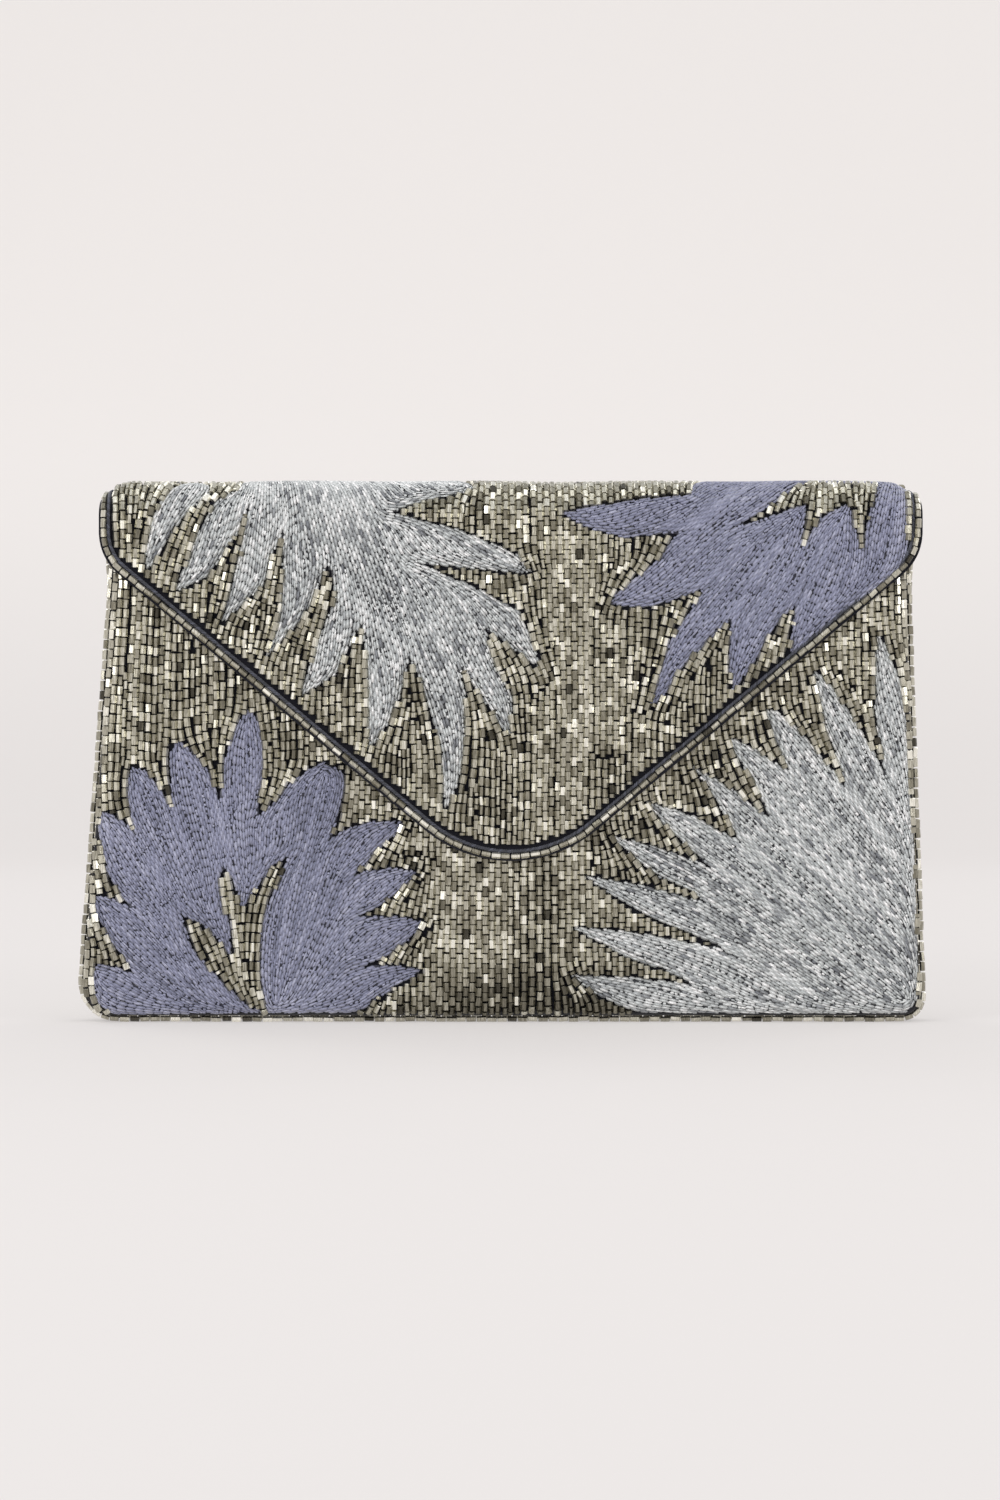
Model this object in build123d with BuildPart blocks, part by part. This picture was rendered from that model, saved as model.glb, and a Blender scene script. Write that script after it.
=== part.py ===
from build123d import *
import os

# Beaded envelope clutch, standing upright: X runs along its width, the front faces -Y, +Z is up.
# The origin is on the table, at the middle of the bottom edge and under the middle of the top fold.
# The seam plane, halfway between the two panels, lies a little behind it.
# Sizes are in millimetres. Each layer of a wall is given by how deep it lies under the bead tips.

# Case
case_width = 280.0          # along the bottom, over the edge beads
case_height = 178.5         # table to the top of the fold
mouth_width = 262.0         # over the edge beads, at the mouth
mouth_drop = 15.5           # top of the fold to the top of the front panel
top_lean = 3.2              # how far the top stands to the right of the bottom
left_corner = 13.0
right_corner = 8.0
panel_depth = 10.5          # middle of the case to the bead tips of either panel
edge_round = 6.0            # roll of a panel's face into its edge
flare_drop = 58.5           # top of the fold to where the back panel widens towards it
flare_round = 40.0

# Layers of the walls
bead_size = 2.0
stitch_height = 1.4
cloth = 0.6
padding = 1.6
board = 1.2
lining = 0.6
edge_row_width = 2.4        # an edge bead row lies beside the gusset, on its panel's side

# Flap and fold
flap_width = 269.0
flap_gap = 0.3              # between the case's bead tips and the flap's lining
flap_board = 1.0
shoulder_drop = 26.5        # fold's top to where the flap's V begins
point_drop = 138.8          # fold's top to the V's point before it is rounded
point_round = 44.0
shoulder_round = 18.0
flap_hem = 1.0              # cloth that shows outside the edge beads
flap_row_width = 1.9
flap_row_height = 1.7
cord_width = 1.2
cord_height = 1.5
crease_back = 45.0          # degrees round the fold, from the back
crease_front = 135.0
crease_gap = 0.9            # degrees left free on each side of a crease

# Slip pocket on the back lining
pocket_width = 120.0
pocket_height = 85.0
pocket_floor = 28.0         # height of its bottom hem
pocket_hem = 3.0
pocket_slack = 0.6
binding_height = 3.0        # of the strip over the front panel's top edge
lining_turn = 4.0           # how far inside the fold's ends the back lining turns in

# Magnetic snap
snap_radius = 9.0
snap_rise = 32.3            # from the V's point, before it is rounded, to the snap
snap_body = 1.8
socket_bore = 4.2
socket_bore_depth = 1.2
stud_nose = 3.8
stud_nose_length = 1.3
shank_radius = 2.5
plate_radius = 7.0
plate_thickness = 0.45
snap_clearance = 0.3

# Embroidered leaves, as (x, height) on the front panel
FRONT_SILVER = [
    (35, 6.5), (23, 15.5), (64.5, 13), (22, 31.5), (75.5, 24.5), (27, 47.5), (69.5, 41),
    (36, 61.5), (69.5, 51), (47.5, 72), (80.5, 60.5), (62.5, 81.5), (88.5, 67), (74.5, 92.5),
    (95.5, 80.5), (88.5, 104), (114, 76.5), (101.5, 116), (125.5, 80.5), (124, 127.5),
    (131, 111.5), (132, 79), (132, 14), (49.5, 4.5),
]
FRONT_LAVENDER = [
    (-84, 102), (-92.5, 74), (-105.5, 92.5), (-107.5, 70), (-118.5, 83.5), (-119.5, 61.5),
    (-129, 69), (-119.5, 38), (-131, 42.5), (-120.5, 17), (-131, 19), (-124.5, 6), (-47, 5),
    (-26, 17.5), (-48.5, 18.5), (-26, 33), (-48.5, 34.5), (-28, 49.5), (-49.5, 48.5), (-31, 66),
    (-56, 60), (-51, 83.5), (-56.5, 85), (-79.5, 67),
]
# and as (x, drop from the fold's top) on the flap
FLAP_SILVER = [
    (-88, 3), (-96, 11.5), (-100, 23), (-106.5, 37.5), (-81.5, 12), (-92, 48.5), (-71, 16.5),
    (-76.5, 58.5), (-56, 28.5), (-65, 71.5), (-45, 48), (-43.5, 88.5), (-30.5, 58.5),
    (-17.5, 108.5), (-14.5, 60), (3.5, 85), (-5.5, 48.5), (13.5, 63.5), (-29.5, 27.5),
    (10, 31.5), (-37, 12), (-9, 1.5),
]
FLAP_LAVENDER = [
    (22.5, 1.5), (20, 11.5), (56.5, 20), (34.5, 42.5), (65.5, 39), (49, 75), (75.5, 47),
    (75.5, 71), (96, 42.5), (94.5, 60), (115.5, 36), (126, 28), (131, 20), (132, 1.5),
]

mouth_height = case_height - mouth_drop
flare_start = case_height - flare_drop
snap_height = case_height - point_drop + snap_rise

# Depth of each layer's outer and inner face under the bead tips of a panel
cloth_in = bead_size + cloth
padding_in = cloth_in + padding
board_in = padding_in + board
lining_in = board_in + lining
cavity_half = panel_depth - lining_in
row_outer = cavity_half + edge_row_width

# Radii of the fold: its outside meets the back panel's bead tips and the flap's
flap_inside = panel_depth + flap_gap
flap_outside = flap_inside + lining + flap_board + cloth + bead_size
fold_outer = (panel_depth + flap_outside) / 2
fold_cloth = fold_outer - bead_size
fold_core = fold_cloth - cloth
fold_lining = fold_core - flap_board
fold_inner = fold_lining - lining
fold_z = case_height - fold_outer
seam_y = (flap_outside - panel_depth) / 2
seam = Plane.XZ.offset(-seam_y)

beyond = 60.0               # overlength of shapes that are trimmed afterwards
snap_x = top_lean


def save(piece, name):
    """Name a finished piece and write it to its own file."""
    piece.part.label = name
    export_step(piece.part, "parts/" + name + ".step")


def edge_x(side, height):
    """Outer edge of the case at a height: side is -1 on the left and 1 on the right."""
    at_mouth = top_lean + side * mouth_width / 2
    at_bottom = side * case_width / 2
    return at_bottom + (at_mouth - at_bottom) * height / mouth_height


def panel_outline(flared):
    """Face outline of a panel over its edge beads, carried on past the mouth or the fold."""
    top = case_height + beyond
    if flared:
        left_top = [(top_lean - flap_width / 2, top), (top_lean - flap_width / 2, fold_z)]
        right_top = [(top_lean + flap_width / 2, fold_z), (top_lean + flap_width / 2, top)]
        left = left_top + [(edge_x(-1, flare_start), flare_start)]
        right = [(edge_x(1, flare_start), flare_start)] + right_top
    else:
        left = [(edge_x(-1, top), top)]
        right = [(edge_x(1, top), top)]
    with BuildSketch() as outline:
        with BuildLine():
            Polyline(*left, (-case_width / 2, 0), (case_width / 2, 0), *right, close=True)
        make_face()
        corners = outline.vertices().group_by(Axis.Y)[0].sort_by(Axis.X)
        fillet(corners[0], left_corner)
        fillet(outline.vertices().group_by(Axis.Y)[0].sort_by(Axis.X)[-1], right_corner)
        if flared:
            bends = [v for v in outline.vertices() if flare_start - 1 < v.Y < fold_z + 1]
            fillet(bends, flare_round)
    return outline.sketch


front_outline = panel_outline(flared=False)
back_outline = panel_outline(flared=True)


def panel_block(outline, inset, side):
    """Half of the case inside one layer's outer face; side 1 is the front and -1 the back."""
    with BuildPart() as block:
        with BuildSketch(seam):
            add(outline)
            offset(amount=-inset)
        extrude(amount=side * (panel_depth - inset))
        face_edges = block.edges().group_by(Axis.Y)[0 if side > 0 else -1]
        fillet(face_edges, edge_round - inset)
    return block.part


def band(outline, outer, inner, near, far):
    """Band round the case between two insets, from one distance off its middle to another."""
    with BuildPart() as ring:
        with BuildSketch(seam.offset(near)):
            add(outline)
            offset(amount=-outer)
        extrude(amount=far - near)
        with BuildSketch(seam.offset(near)):
            add(outline)
            offset(amount=-inner)
        extrude(amount=far - near, mode=Mode.SUBTRACT)
    return ring.part


def panel_layer(block, outer, inner, side, top):
    """Flat layer of a panel between two depths under its bead tips, up to a height."""
    towards, away = (Keep.TOP, Keep.BOTTOM) if side > 0 else (Keep.BOTTOM, Keep.TOP)
    with BuildPart() as layer:
        add(block)
        split(bisect_by=seam.offset(side * (panel_depth - inner)), keep=towards)
        split(bisect_by=seam.offset(side * (panel_depth - outer)), keep=away)
        split(bisect_by=Plane.XY.offset(top), keep=Keep.BOTTOM)
    return layer.part


def flap_outline(inset):
    """Prism of the flap's V outline, pulled in by an inset along every edge."""
    half = flap_width / 2
    with BuildPart() as prism:
        with BuildSketch(seam) as shape:
            with BuildLine():
                Polyline(
                    (top_lean - half, case_height + beyond),
                    (top_lean - half, case_height - shoulder_drop),
                    (top_lean, case_height - point_drop),
                    (top_lean + half, case_height - shoulder_drop),
                    (top_lean + half, case_height + beyond),
                    close=True,
                )
            make_face()
            fillet(shape.vertices().group_by(Axis.Y)[0], point_round)
            shoulders = [v for v in shape.vertices() if abs(v.Y - case_height + shoulder_drop) < 0.01]
            fillet(shoulders, shoulder_round)
            if inset:
                offset(amount=-inset)
        extrude(amount=beyond)
    return prism.part


def fold_arc(inner, outer, start, end, side_inset):
    """Part of the fold's half round between two radii and two angles, from side to side."""
    left = top_lean - flap_width / 2 + side_inset
    with BuildPart() as arc:
        with BuildSketch(Plane.YZ.offset(left)):
            with BuildLine():
                rim = CenterArc((0, fold_z), outer, start, end - start)
                bore = CenterArc((0, fold_z), inner, start, end - start)
                Line(rim @ 0, bore @ 0)
                Line(rim @ 1, bore @ 1)
            make_face()
        extrude(amount=flap_width - 2 * side_inset)
    return arc.part


def flap_layer(inner, outer, inset):
    """One layer of the flap: the last of the fold's round, then straight down, cut to the V."""
    arc = fold_arc(inner, outer, crease_front + crease_gap, 180, 0)
    outline = flap_outline(inset)
    with BuildPart() as layer:
        with BuildSketch(seam.offset(inner + seam_y)):
            with Locations((top_lean, fold_z - case_height / 2)):
                Rectangle(flap_width, case_height)
        extrude(amount=outer - inner)
        add(arc)
        add(outline, mode=Mode.INTERSECT)
    return layer.part


def leaf_prism(points):
    """Prism of a leaf's outline, standing out in front of the case."""
    with BuildPart() as prism:
        with BuildSketch(seam):
            with BuildLine():
                Polyline(*points, close=True)
            make_face()
        extrude(amount=beyond)
    return prism.part


def pin(radius, near, length):
    """Disc or pin of the snap, on its axis, from a distance in front of the case's middle."""
    with BuildPart() as disc:
        with BuildSketch(seam.offset(near)):
            with Locations((snap_x, snap_height)):
                Circle(radius)
        extrude(amount=length)
    return disc.part


os.makedirs("parts", exist_ok=True)

# Front panel: the bead layer wraps over the panel's edge down to the edge bead row
front_beads_out = panel_block(front_outline, 0, 1)
front_cloth_out = panel_block(front_outline, bead_size, 1)
front_cloth_in = panel_block(front_outline, cloth_in, 1)
front_stitch_out = panel_block(front_outline, bead_size - stitch_height, 1)
front_silver_prism = leaf_prism(FRONT_SILVER)
front_lavender_prism = leaf_prism(FRONT_LAVENDER)

with BuildPart() as front_beading:
    add(front_beads_out)
    add(front_cloth_out, mode=Mode.SUBTRACT)
    split(bisect_by=seam.offset(row_outer), keep=Keep.TOP)
    split(bisect_by=Plane.XY.offset(mouth_height), keep=Keep.BOTTOM)
    add(front_silver_prism, mode=Mode.SUBTRACT)
    add(front_lavender_prism, mode=Mode.SUBTRACT)
    add(pin(snap_radius + snap_clearance, panel_depth - bead_size, bead_size), mode=Mode.SUBTRACT)
save(front_beading, "front_beading")

for leaf_name, prism in (
    ("front_silver_leaf", front_silver_prism),
    ("front_lavender_leaf", front_lavender_prism),
):
    with BuildPart() as front_leaf:
        add(front_stitch_out)
        add(front_cloth_out, mode=Mode.SUBTRACT)
        split(bisect_by=seam.offset(row_outer), keep=Keep.TOP)
        add(prism, mode=Mode.INTERSECT)
    save(front_leaf, leaf_name)

with BuildPart() as front_fabric:
    add(front_cloth_out)
    add(front_cloth_in, mode=Mode.SUBTRACT)
    split(bisect_by=seam.offset(cavity_half), keep=Keep.TOP)
    split(bisect_by=Plane.XY.offset(mouth_height), keep=Keep.BOTTOM)
    add(pin(shank_radius, panel_depth - cloth_in, cloth), mode=Mode.SUBTRACT)
save(front_fabric, "front_fabric")

with BuildPart() as front_padding:
    add(panel_layer(front_cloth_in, cloth_in, padding_in, 1, mouth_height))
    add(pin(plate_radius, panel_depth - padding_in, padding), mode=Mode.SUBTRACT)
save(front_padding, "front_padding")

with BuildPart() as front_board:
    add(panel_layer(front_cloth_in, padding_in, board_in, 1, mouth_height))
save(front_board, "front_board")

with BuildPart() as front_lining:
    add(panel_layer(front_cloth_in, board_in, lining_in, 1, mouth_height))
save(front_lining, "front_lining")

# Binding over the front panel's top edge, a strip with rounded long edges
with BuildPart() as mouth_binding:
    with BuildSketch(seam.offset(cavity_half)):
        add(front_outline)
        offset(amount=-cloth_in)
    extrude(amount=panel_depth - bead_size - cavity_half)
    split(bisect_by=Plane.XY.offset(mouth_height), keep=Keep.TOP)
    split(bisect_by=Plane.XY.offset(mouth_height + binding_height), keep=Keep.BOTTOM)
    top_edges = mouth_binding.edges().group_by(Axis.Z)[-1].filter_by(Axis.X)
    fillet(top_edges, (panel_depth - bead_size - cavity_half) * 0.45)
save(mouth_binding, "mouth_binding")

# Rows of beads round the front and the back panel, and the band of cloth between the rows
with BuildPart() as front_edge_beads:
    add(band(front_outline, 0, bead_size, cavity_half, row_outer))
    split(bisect_by=Plane.XY.offset(mouth_height), keep=Keep.BOTTOM)
save(front_edge_beads, "front_edge_beads")

with BuildPart() as back_edge_beads:
    add(band(back_outline, 0, bead_size, -cavity_half, -row_outer))
    split(bisect_by=Plane.XY.offset(fold_z), keep=Keep.BOTTOM)
save(back_edge_beads, "back_edge_beads")

with BuildPart() as gusset_fabric:
    add(band(front_outline, bead_size, cloth_in, -cavity_half, cavity_half))
    split(bisect_by=Plane.XY.offset(mouth_height), keep=Keep.BOTTOM)
save(gusset_fabric, "gusset_fabric")

with BuildPart() as gusset_lining:
    add(band(front_outline, cloth_in, cloth_in + lining, -cavity_half, cavity_half))
    split(bisect_by=Plane.XY.offset(mouth_height), keep=Keep.BOTTOM)
save(gusset_lining, "gusset_lining")

# Back panel: its bead layer and cloth run on over the fold as far as the back crease
back_beads_out = panel_block(back_outline, 0, -1)
back_cloth_out = panel_block(back_outline, bead_size, -1)
back_cloth_in = panel_block(back_outline, cloth_in, -1)
back_end = crease_back - crease_gap

with BuildPart() as back_beading:
    add(back_beads_out)
    add(back_cloth_out, mode=Mode.SUBTRACT)
    split(bisect_by=seam.offset(-row_outer), keep=Keep.BOTTOM)
    split(bisect_by=Plane.XY.offset(fold_z), keep=Keep.BOTTOM)
    add(fold_arc(fold_cloth, fold_outer, 0, back_end, 0))
save(back_beading, "back_beading")

with BuildPart() as back_fabric:
    add(back_cloth_out)
    add(back_cloth_in, mode=Mode.SUBTRACT)
    split(bisect_by=seam.offset(-cavity_half), keep=Keep.BOTTOM)
    split(bisect_by=Plane.XY.offset(fold_z), keep=Keep.BOTTOM)
    add(fold_arc(fold_core, fold_cloth, 0, back_end, bead_size))
save(back_fabric, "back_fabric")

# The back lining covers the board and, over the board's top, turns in under the fold
with BuildPart() as back_lining:
    add(panel_layer(back_cloth_in, board_in, lining_in, -1, mouth_height))
    with BuildSketch(Plane.YZ.offset(top_lean - flap_width / 2 + lining_turn)):
        with BuildLine():
            Polyline(
                (seam_y + cavity_half, mouth_height),
                (seam_y + cavity_half + lining, mouth_height),
                (fold_lining, fold_z),
                (fold_inner, fold_z),
                close=True,
            )
        make_face()
    extrude(amount=flap_width - 2 * lining_turn)
    add(fold_arc(fold_inner, fold_lining, 0, back_end, lining_turn))
save(back_lining, "back_lining")

with BuildPart() as back_board:
    add(panel_layer(back_cloth_in, padding_in, board_in, -1, mouth_height))
save(back_board, "back_board")

with BuildPart() as back_padding:
    add(panel_layer(back_cloth_in, cloth_in, padding_in, -1, fold_z))
    add(fold_arc(fold_lining, fold_core, 0, back_end, lining_turn))
    add(back_lining.part, mode=Mode.SUBTRACT)
save(back_padding, "back_padding")

# Slip pocket: a flat sheet hemmed to the back lining on three sides, open at its top
with BuildPart() as slip_pocket:
    with BuildSketch(seam.offset(-cavity_half)):
        with Locations((0, pocket_floor + pocket_height / 2)):
            Rectangle(pocket_width, pocket_height)
    extrude(amount=pocket_slack + lining)
    with BuildSketch(seam.offset(-cavity_half)):
        with Locations((0, pocket_floor + pocket_height / 2 + pocket_hem)):
            Rectangle(pocket_width - 2 * pocket_hem, pocket_height)
    extrude(amount=pocket_slack, mode=Mode.SUBTRACT)
save(slip_pocket, "slip_pocket")

# Fold between the two creases
link_start = crease_back + crease_gap
link_end = crease_front - crease_gap
for name, inner, outer, side_inset in (
    ("fold_beading", fold_cloth, fold_outer, 0),
    ("fold_fabric", fold_core, fold_cloth, bead_size),
    ("fold_interfacing", fold_lining, fold_core, bead_size),
    ("fold_lining", fold_inner, fold_lining, cloth_in),
):
    with BuildPart() as fold_piece:
        add(fold_arc(inner, outer, link_start, link_end, side_inset))
    save(fold_piece, name)

# Flap: bead field, twisted cord and edge beads lie side by side on the cloth
row_in = flap_hem + flap_row_width
field_in = row_in + cord_width
flap_silver_prism = leaf_prism([(x, case_height - drop) for x, drop in FLAP_SILVER])
flap_lavender_prism = leaf_prism([(x, case_height - drop) for x, drop in FLAP_LAVENDER])

with BuildPart() as flap_beading:
    add(flap_layer(fold_cloth, fold_outer, field_in))
    add(flap_silver_prism, mode=Mode.SUBTRACT)
    add(flap_lavender_prism, mode=Mode.SUBTRACT)
save(flap_beading, "flap_beading")

for leaf_name, prism in (
    ("flap_silver_leaf", flap_silver_prism),
    ("flap_lavender_leaf", flap_lavender_prism),
):
    with BuildPart() as flap_leaf:
        add(flap_layer(fold_cloth, fold_cloth + stitch_height, field_in))
        add(prism, mode=Mode.INTERSECT)
    save(flap_leaf, leaf_name)

with BuildPart() as flap_edge_beads:
    add(flap_layer(fold_cloth, fold_cloth + flap_row_height, flap_hem))
    add(flap_outline(row_in), mode=Mode.SUBTRACT)
save(flap_edge_beads, "flap_edge_beads")

with BuildPart() as flap_cord:
    add(flap_layer(fold_cloth, fold_cloth + cord_height, row_in))
    add(flap_outline(field_in), mode=Mode.SUBTRACT)
save(flap_cord, "flap_cord")

with BuildPart() as flap_fabric:
    add(flap_layer(fold_core, fold_cloth, 0))
save(flap_fabric, "flap_fabric")

board_front = fold_core + seam_y
with BuildPart() as flap_stiffener:
    add(flap_layer(fold_lining, fold_core, cloth))
    add(pin(shank_radius, flap_inside, board_front - flap_inside), mode=Mode.SUBTRACT)
    add(pin(plate_radius, board_front - plate_thickness, plate_thickness), mode=Mode.SUBTRACT)
save(flap_stiffener, "flap_board")

with BuildPart() as flap_lining_piece:
    add(flap_layer(fold_inner, fold_lining, cloth))
    add(pin(snap_radius + snap_clearance, flap_inside, lining), mode=Mode.SUBTRACT)
save(flap_lining_piece, "flap_lining")

# Magnetic snap: each half is a disc on a shank, held by a plate behind the cloth or in the board
socket_back = panel_depth - bead_size
with BuildPart() as snap_socket:
    add(pin(snap_radius, socket_back, snap_body))
    add(pin(shank_radius, socket_back - cloth, cloth))
    add(
        pin(socket_bore, socket_back + snap_body - socket_bore_depth, socket_bore_depth),
        mode=Mode.SUBTRACT,
    )
save(snap_socket, "snap_socket")

with BuildPart() as snap_socket_plate:
    add(pin(plate_radius - snap_clearance, socket_back - cloth - plate_thickness, plate_thickness))
save(snap_socket_plate, "snap_socket_plate")

with BuildPart() as snap_stud:
    add(pin(snap_radius, flap_inside, lining))
    add(pin(stud_nose, flap_inside - stud_nose_length, stud_nose_length))
    add(pin(shank_radius, flap_inside + lining, board_front - plate_thickness - flap_inside - lining))
save(snap_stud, "snap_stud")

with BuildPart() as snap_stud_plate:
    add(pin(plate_radius - snap_clearance, board_front - plate_thickness, plate_thickness))
save(snap_stud_plate, "snap_stud_plate")
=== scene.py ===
import math
from collections import deque

import bpy
import numpy as np
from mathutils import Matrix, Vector


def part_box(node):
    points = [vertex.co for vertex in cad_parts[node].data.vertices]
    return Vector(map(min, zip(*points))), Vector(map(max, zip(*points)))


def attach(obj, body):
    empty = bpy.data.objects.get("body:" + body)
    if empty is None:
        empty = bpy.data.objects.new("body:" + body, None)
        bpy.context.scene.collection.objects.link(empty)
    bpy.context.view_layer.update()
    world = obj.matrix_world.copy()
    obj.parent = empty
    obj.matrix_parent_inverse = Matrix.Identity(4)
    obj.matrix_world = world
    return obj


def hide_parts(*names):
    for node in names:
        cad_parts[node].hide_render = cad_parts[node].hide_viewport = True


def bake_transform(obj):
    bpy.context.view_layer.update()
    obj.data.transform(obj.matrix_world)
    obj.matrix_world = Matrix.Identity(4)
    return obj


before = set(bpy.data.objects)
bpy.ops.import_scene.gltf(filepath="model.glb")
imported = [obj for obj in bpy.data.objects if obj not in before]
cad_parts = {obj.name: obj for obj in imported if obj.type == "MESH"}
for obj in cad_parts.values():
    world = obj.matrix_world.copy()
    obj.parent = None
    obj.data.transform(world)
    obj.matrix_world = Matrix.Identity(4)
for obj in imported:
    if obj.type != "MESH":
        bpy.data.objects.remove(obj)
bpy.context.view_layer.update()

# ---- Camera, floor and lights ----
# A straight front view at half the clutch's height, from a little over a metre. It stands in a
# round bowl of opal acrylic whose rim curves up, so every view has the same plain ground.
MM = 0.001
VIEW_DISTANCE = 1156 * MM
VIEW_SHIFT_LEFT = 0.3 * MM
FRONT_LAYER = 11 * MM

camera = bpy.data.objects.new("camera", bpy.data.cameras.new("camera"))
camera.data.lens = 85
camera.data.sensor_width = 36
camera.location = (-VIEW_SHIFT_LEFT, -VIEW_DISTANCE - FRONT_LAYER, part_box("fold_beading")[1][2] / 2)
camera.rotation_euler = (math.pi / 2, 0, 0)
bpy.context.scene.collection.objects.link(camera)
bpy.context.scene.camera = camera
bpy.context.scene.view_settings.view_transform = "Standard"


def colour(code):
    """Linear colour of an sRGB hex code."""
    parts = [int(code[i:i + 2], 16) / 255 for i in (1, 3, 5)]
    return [p / 12.92 if p <= 0.04045 else ((p + 0.055) / 1.055) ** 2.4 for p in parts] + [1.0]


def put(tree, kind, settings=(), inputs=()):
    """Adds one node: settings are its properties, inputs its sockets' values or the outputs they take."""
    node = tree.nodes.new(kind)
    for name, value in dict(settings).items():
        setattr(node, name, value)
    for name, value in dict(inputs).items():
        if isinstance(value, bpy.types.NodeSocket):
            tree.links.new(value, node.inputs[name])
        else:
            node.inputs[name].default_value = value
    return node


def start_material(name, settings):
    """An empty material with its surface shader: returns the material, its tree and the shader."""
    material = bpy.data.materials.new(name)
    material.use_nodes = True
    tree = material.node_tree
    tree.nodes.clear()
    shader = put(tree, "ShaderNodeBsdfPrincipled", inputs=settings)
    put(tree, "ShaderNodeOutputMaterial", inputs={"Surface": shader.outputs[0]})
    return material, tree, shader


def plain_mesh(name, points, faces, material, smooth=True):
    """An object from points in metres and faces, with one material."""
    mesh = bpy.data.meshes.new(name)
    mesh.from_pydata([tuple(p) for p in points], [], [tuple(int(i) for i in f) for f in faces])
    mesh.update()
    mesh.materials.append(material)
    if smooth:
        mesh.shade_smooth()
    piece = bpy.data.objects.new(name, mesh)
    bpy.context.scene.collection.objects.link(piece)
    return piece


# Matt opal acrylic, cast and sanded, and lit from behind as well, so that its tone stays even
acrylic, tree, shader = start_material("opal_acrylic_backdrop", {
    "Roughness": 0.95, "Specular IOR Level": 0.1,
    "Emission Color": colour("#ebe7e5"), "Emission Strength": 0.5})
# the floor is a shade darker than the rim, because it gets more of the light from above
where = put(tree, "ShaderNodeTexCoord")
height = put(tree, "ShaderNodeSeparateXYZ", inputs={0: where.outputs["Object"]})
grain = put(tree, "ShaderNodeTexNoise", inputs={"Vector": where.outputs["Object"], "Scale": 40.0})
rise = put(tree, "ShaderNodeMapRange", {"interpolation_type": "SMOOTHSTEP"},
           {"Value": height.outputs["Z"], "From Max": 0.4, "To Max": 0.97})
level = put(tree, "ShaderNodeMath", {"operation": "MULTIPLY_ADD"},
            {0: grain.outputs["Fac"], 1: 0.03, 2: rise.outputs[0]})
tint = put(tree, "ShaderNodeMix", {"data_type": "RGBA"},
           {0: level.outputs[0], 6: colour("#a29f9e"), 7: colour("#b8b5b3")})
tree.links.new(tint.outputs[2], shader.inputs["Base Color"])

BOWL_FLOOR = 1.7
BOWL_CURVE = 0.7
BOWL_WALL = 0.35
TURNS = 96
CURVE_STEPS = 12
profile = [(0.02, 0.0), (0.6, 0.0), (1.2, 0.0), (BOWL_FLOOR, 0.0)]
for step in range(1, CURVE_STEPS + 1):
    angle = step / CURVE_STEPS * math.pi / 2
    profile.append((BOWL_FLOOR + BOWL_CURVE * math.sin(angle), BOWL_CURVE * (1 - math.cos(angle))))
profile.append((BOWL_FLOOR + BOWL_CURVE, BOWL_CURVE + BOWL_WALL))
points = [(0.0, 0.0, 0.0)]
for turn in range(TURNS):
    angle = turn / TURNS * 2 * math.pi
    points += [(r * math.cos(angle), r * math.sin(angle), z) for r, z in profile]
faces = []
for turn in range(TURNS):
    a = 1 + turn * len(profile)
    b = 1 + (turn + 1) % TURNS * len(profile)
    faces.append((0, a, b))
    faces += [(a + k, a + k + 1, b + k + 1, b + k) for k in range(len(profile) - 1)]
bowl = plain_mesh("floor_and_backdrop", points, faces, acrylic)

world = bpy.data.worlds.new("studio")
world.use_nodes = True
world.node_tree.nodes["Background"].inputs[0].default_value = colour("#f6f6f7")
world.node_tree.nodes["Background"].inputs[1].default_value = 0.85
bpy.context.scene.world = world

# name, place, aimed at, width, height, watts
LAMPS = [
    ("key_left", (-1.1, -1.2, 0.62), (0, 0, 0.08), 0.5, 0.7, 8),
    ("key_right", (1.25, -1.0, 0.5), (0, 0, 0.08), 0.35, 0.7, 5),
    ("over_head", (0.0, -0.2, 1.3), (0, 0, 0.08), 0.9, 0.3, 1.5),
    ("back_left", (-1.2, 1.3, 1.2), (0, 0, 0.08), 0.8, 0.8, 6),
    ("back_right", (1.2, 1.4, 1.0), (0, 0, 0.08), 0.8, 0.8, 4.5),
]
for name, place, target, width, height, watts in LAMPS:
    lamp = bpy.data.objects.new(name, bpy.data.lights.new(name, "AREA"))
    lamp.data.shape = "RECTANGLE"
    lamp.data.size = width
    lamp.data.size_y = height
    lamp.data.energy = watts
    lamp.location = place
    lamp.rotation_euler = (Vector(target) - Vector(place)).to_track_quat("-Z", "Y").to_euler()
    bpy.context.scene.collection.objects.link(lamp)

# ---- The cloth that everything is sewn to ----
# Flap, fold and back are one length of cloth, laid out flat as x and a run s that equals
# height on the flap. The front panel is a second piece. Both lie over wadding and board.
CASE_WIDTH = 280.0
LEAN = 3.2                  # the top edge sits this far right of the bottom edge
MOUTH_WIDTH = 262.0
MOUTH_HEIGHT = 163.0
CORNERS = (13.0, 8.0)       # bottom left and bottom right
FOLD_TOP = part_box("fold_beading")[1][2] / MM
BEAD = 2.0
FOLD_CLOTH = 10.75          # radius of the cloth over the fold
FOLD_Z = FOLD_TOP - FOLD_CLOTH - BEAD
FOLD_RUN = 11.5             # radius at which the laid-out length is true
RUN_TOP = FOLD_Z + FOLD_RUN * math.pi / 2
RUN_BACK = FOLD_Z + FOLD_RUN * math.pi
SEAM_Y = 2.25
PANEL_CLOTH = 8.5           # from the seam's plane to the cloth of a panel
EDGE_MIDDLE = 4.5           # the cloth rolls round this far off the seam
EDGE_ROUND = 6.0
FLAP_HALF = 134.5
FLARE_FROM = 120.0
CROWN = 0.7
FOLD_END_DROP = 0.42        # the fold's ends are pressed flatter, over this last length
FOLD_END_LENGTH = 13.0
CLOTH_THICK = 0.6
PAD_THICK = 2.2             # cloth and wadding
FLAP_THICK = 1.6            # cloth and the flap's soft board
LINING_THICK = 0.6


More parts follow.
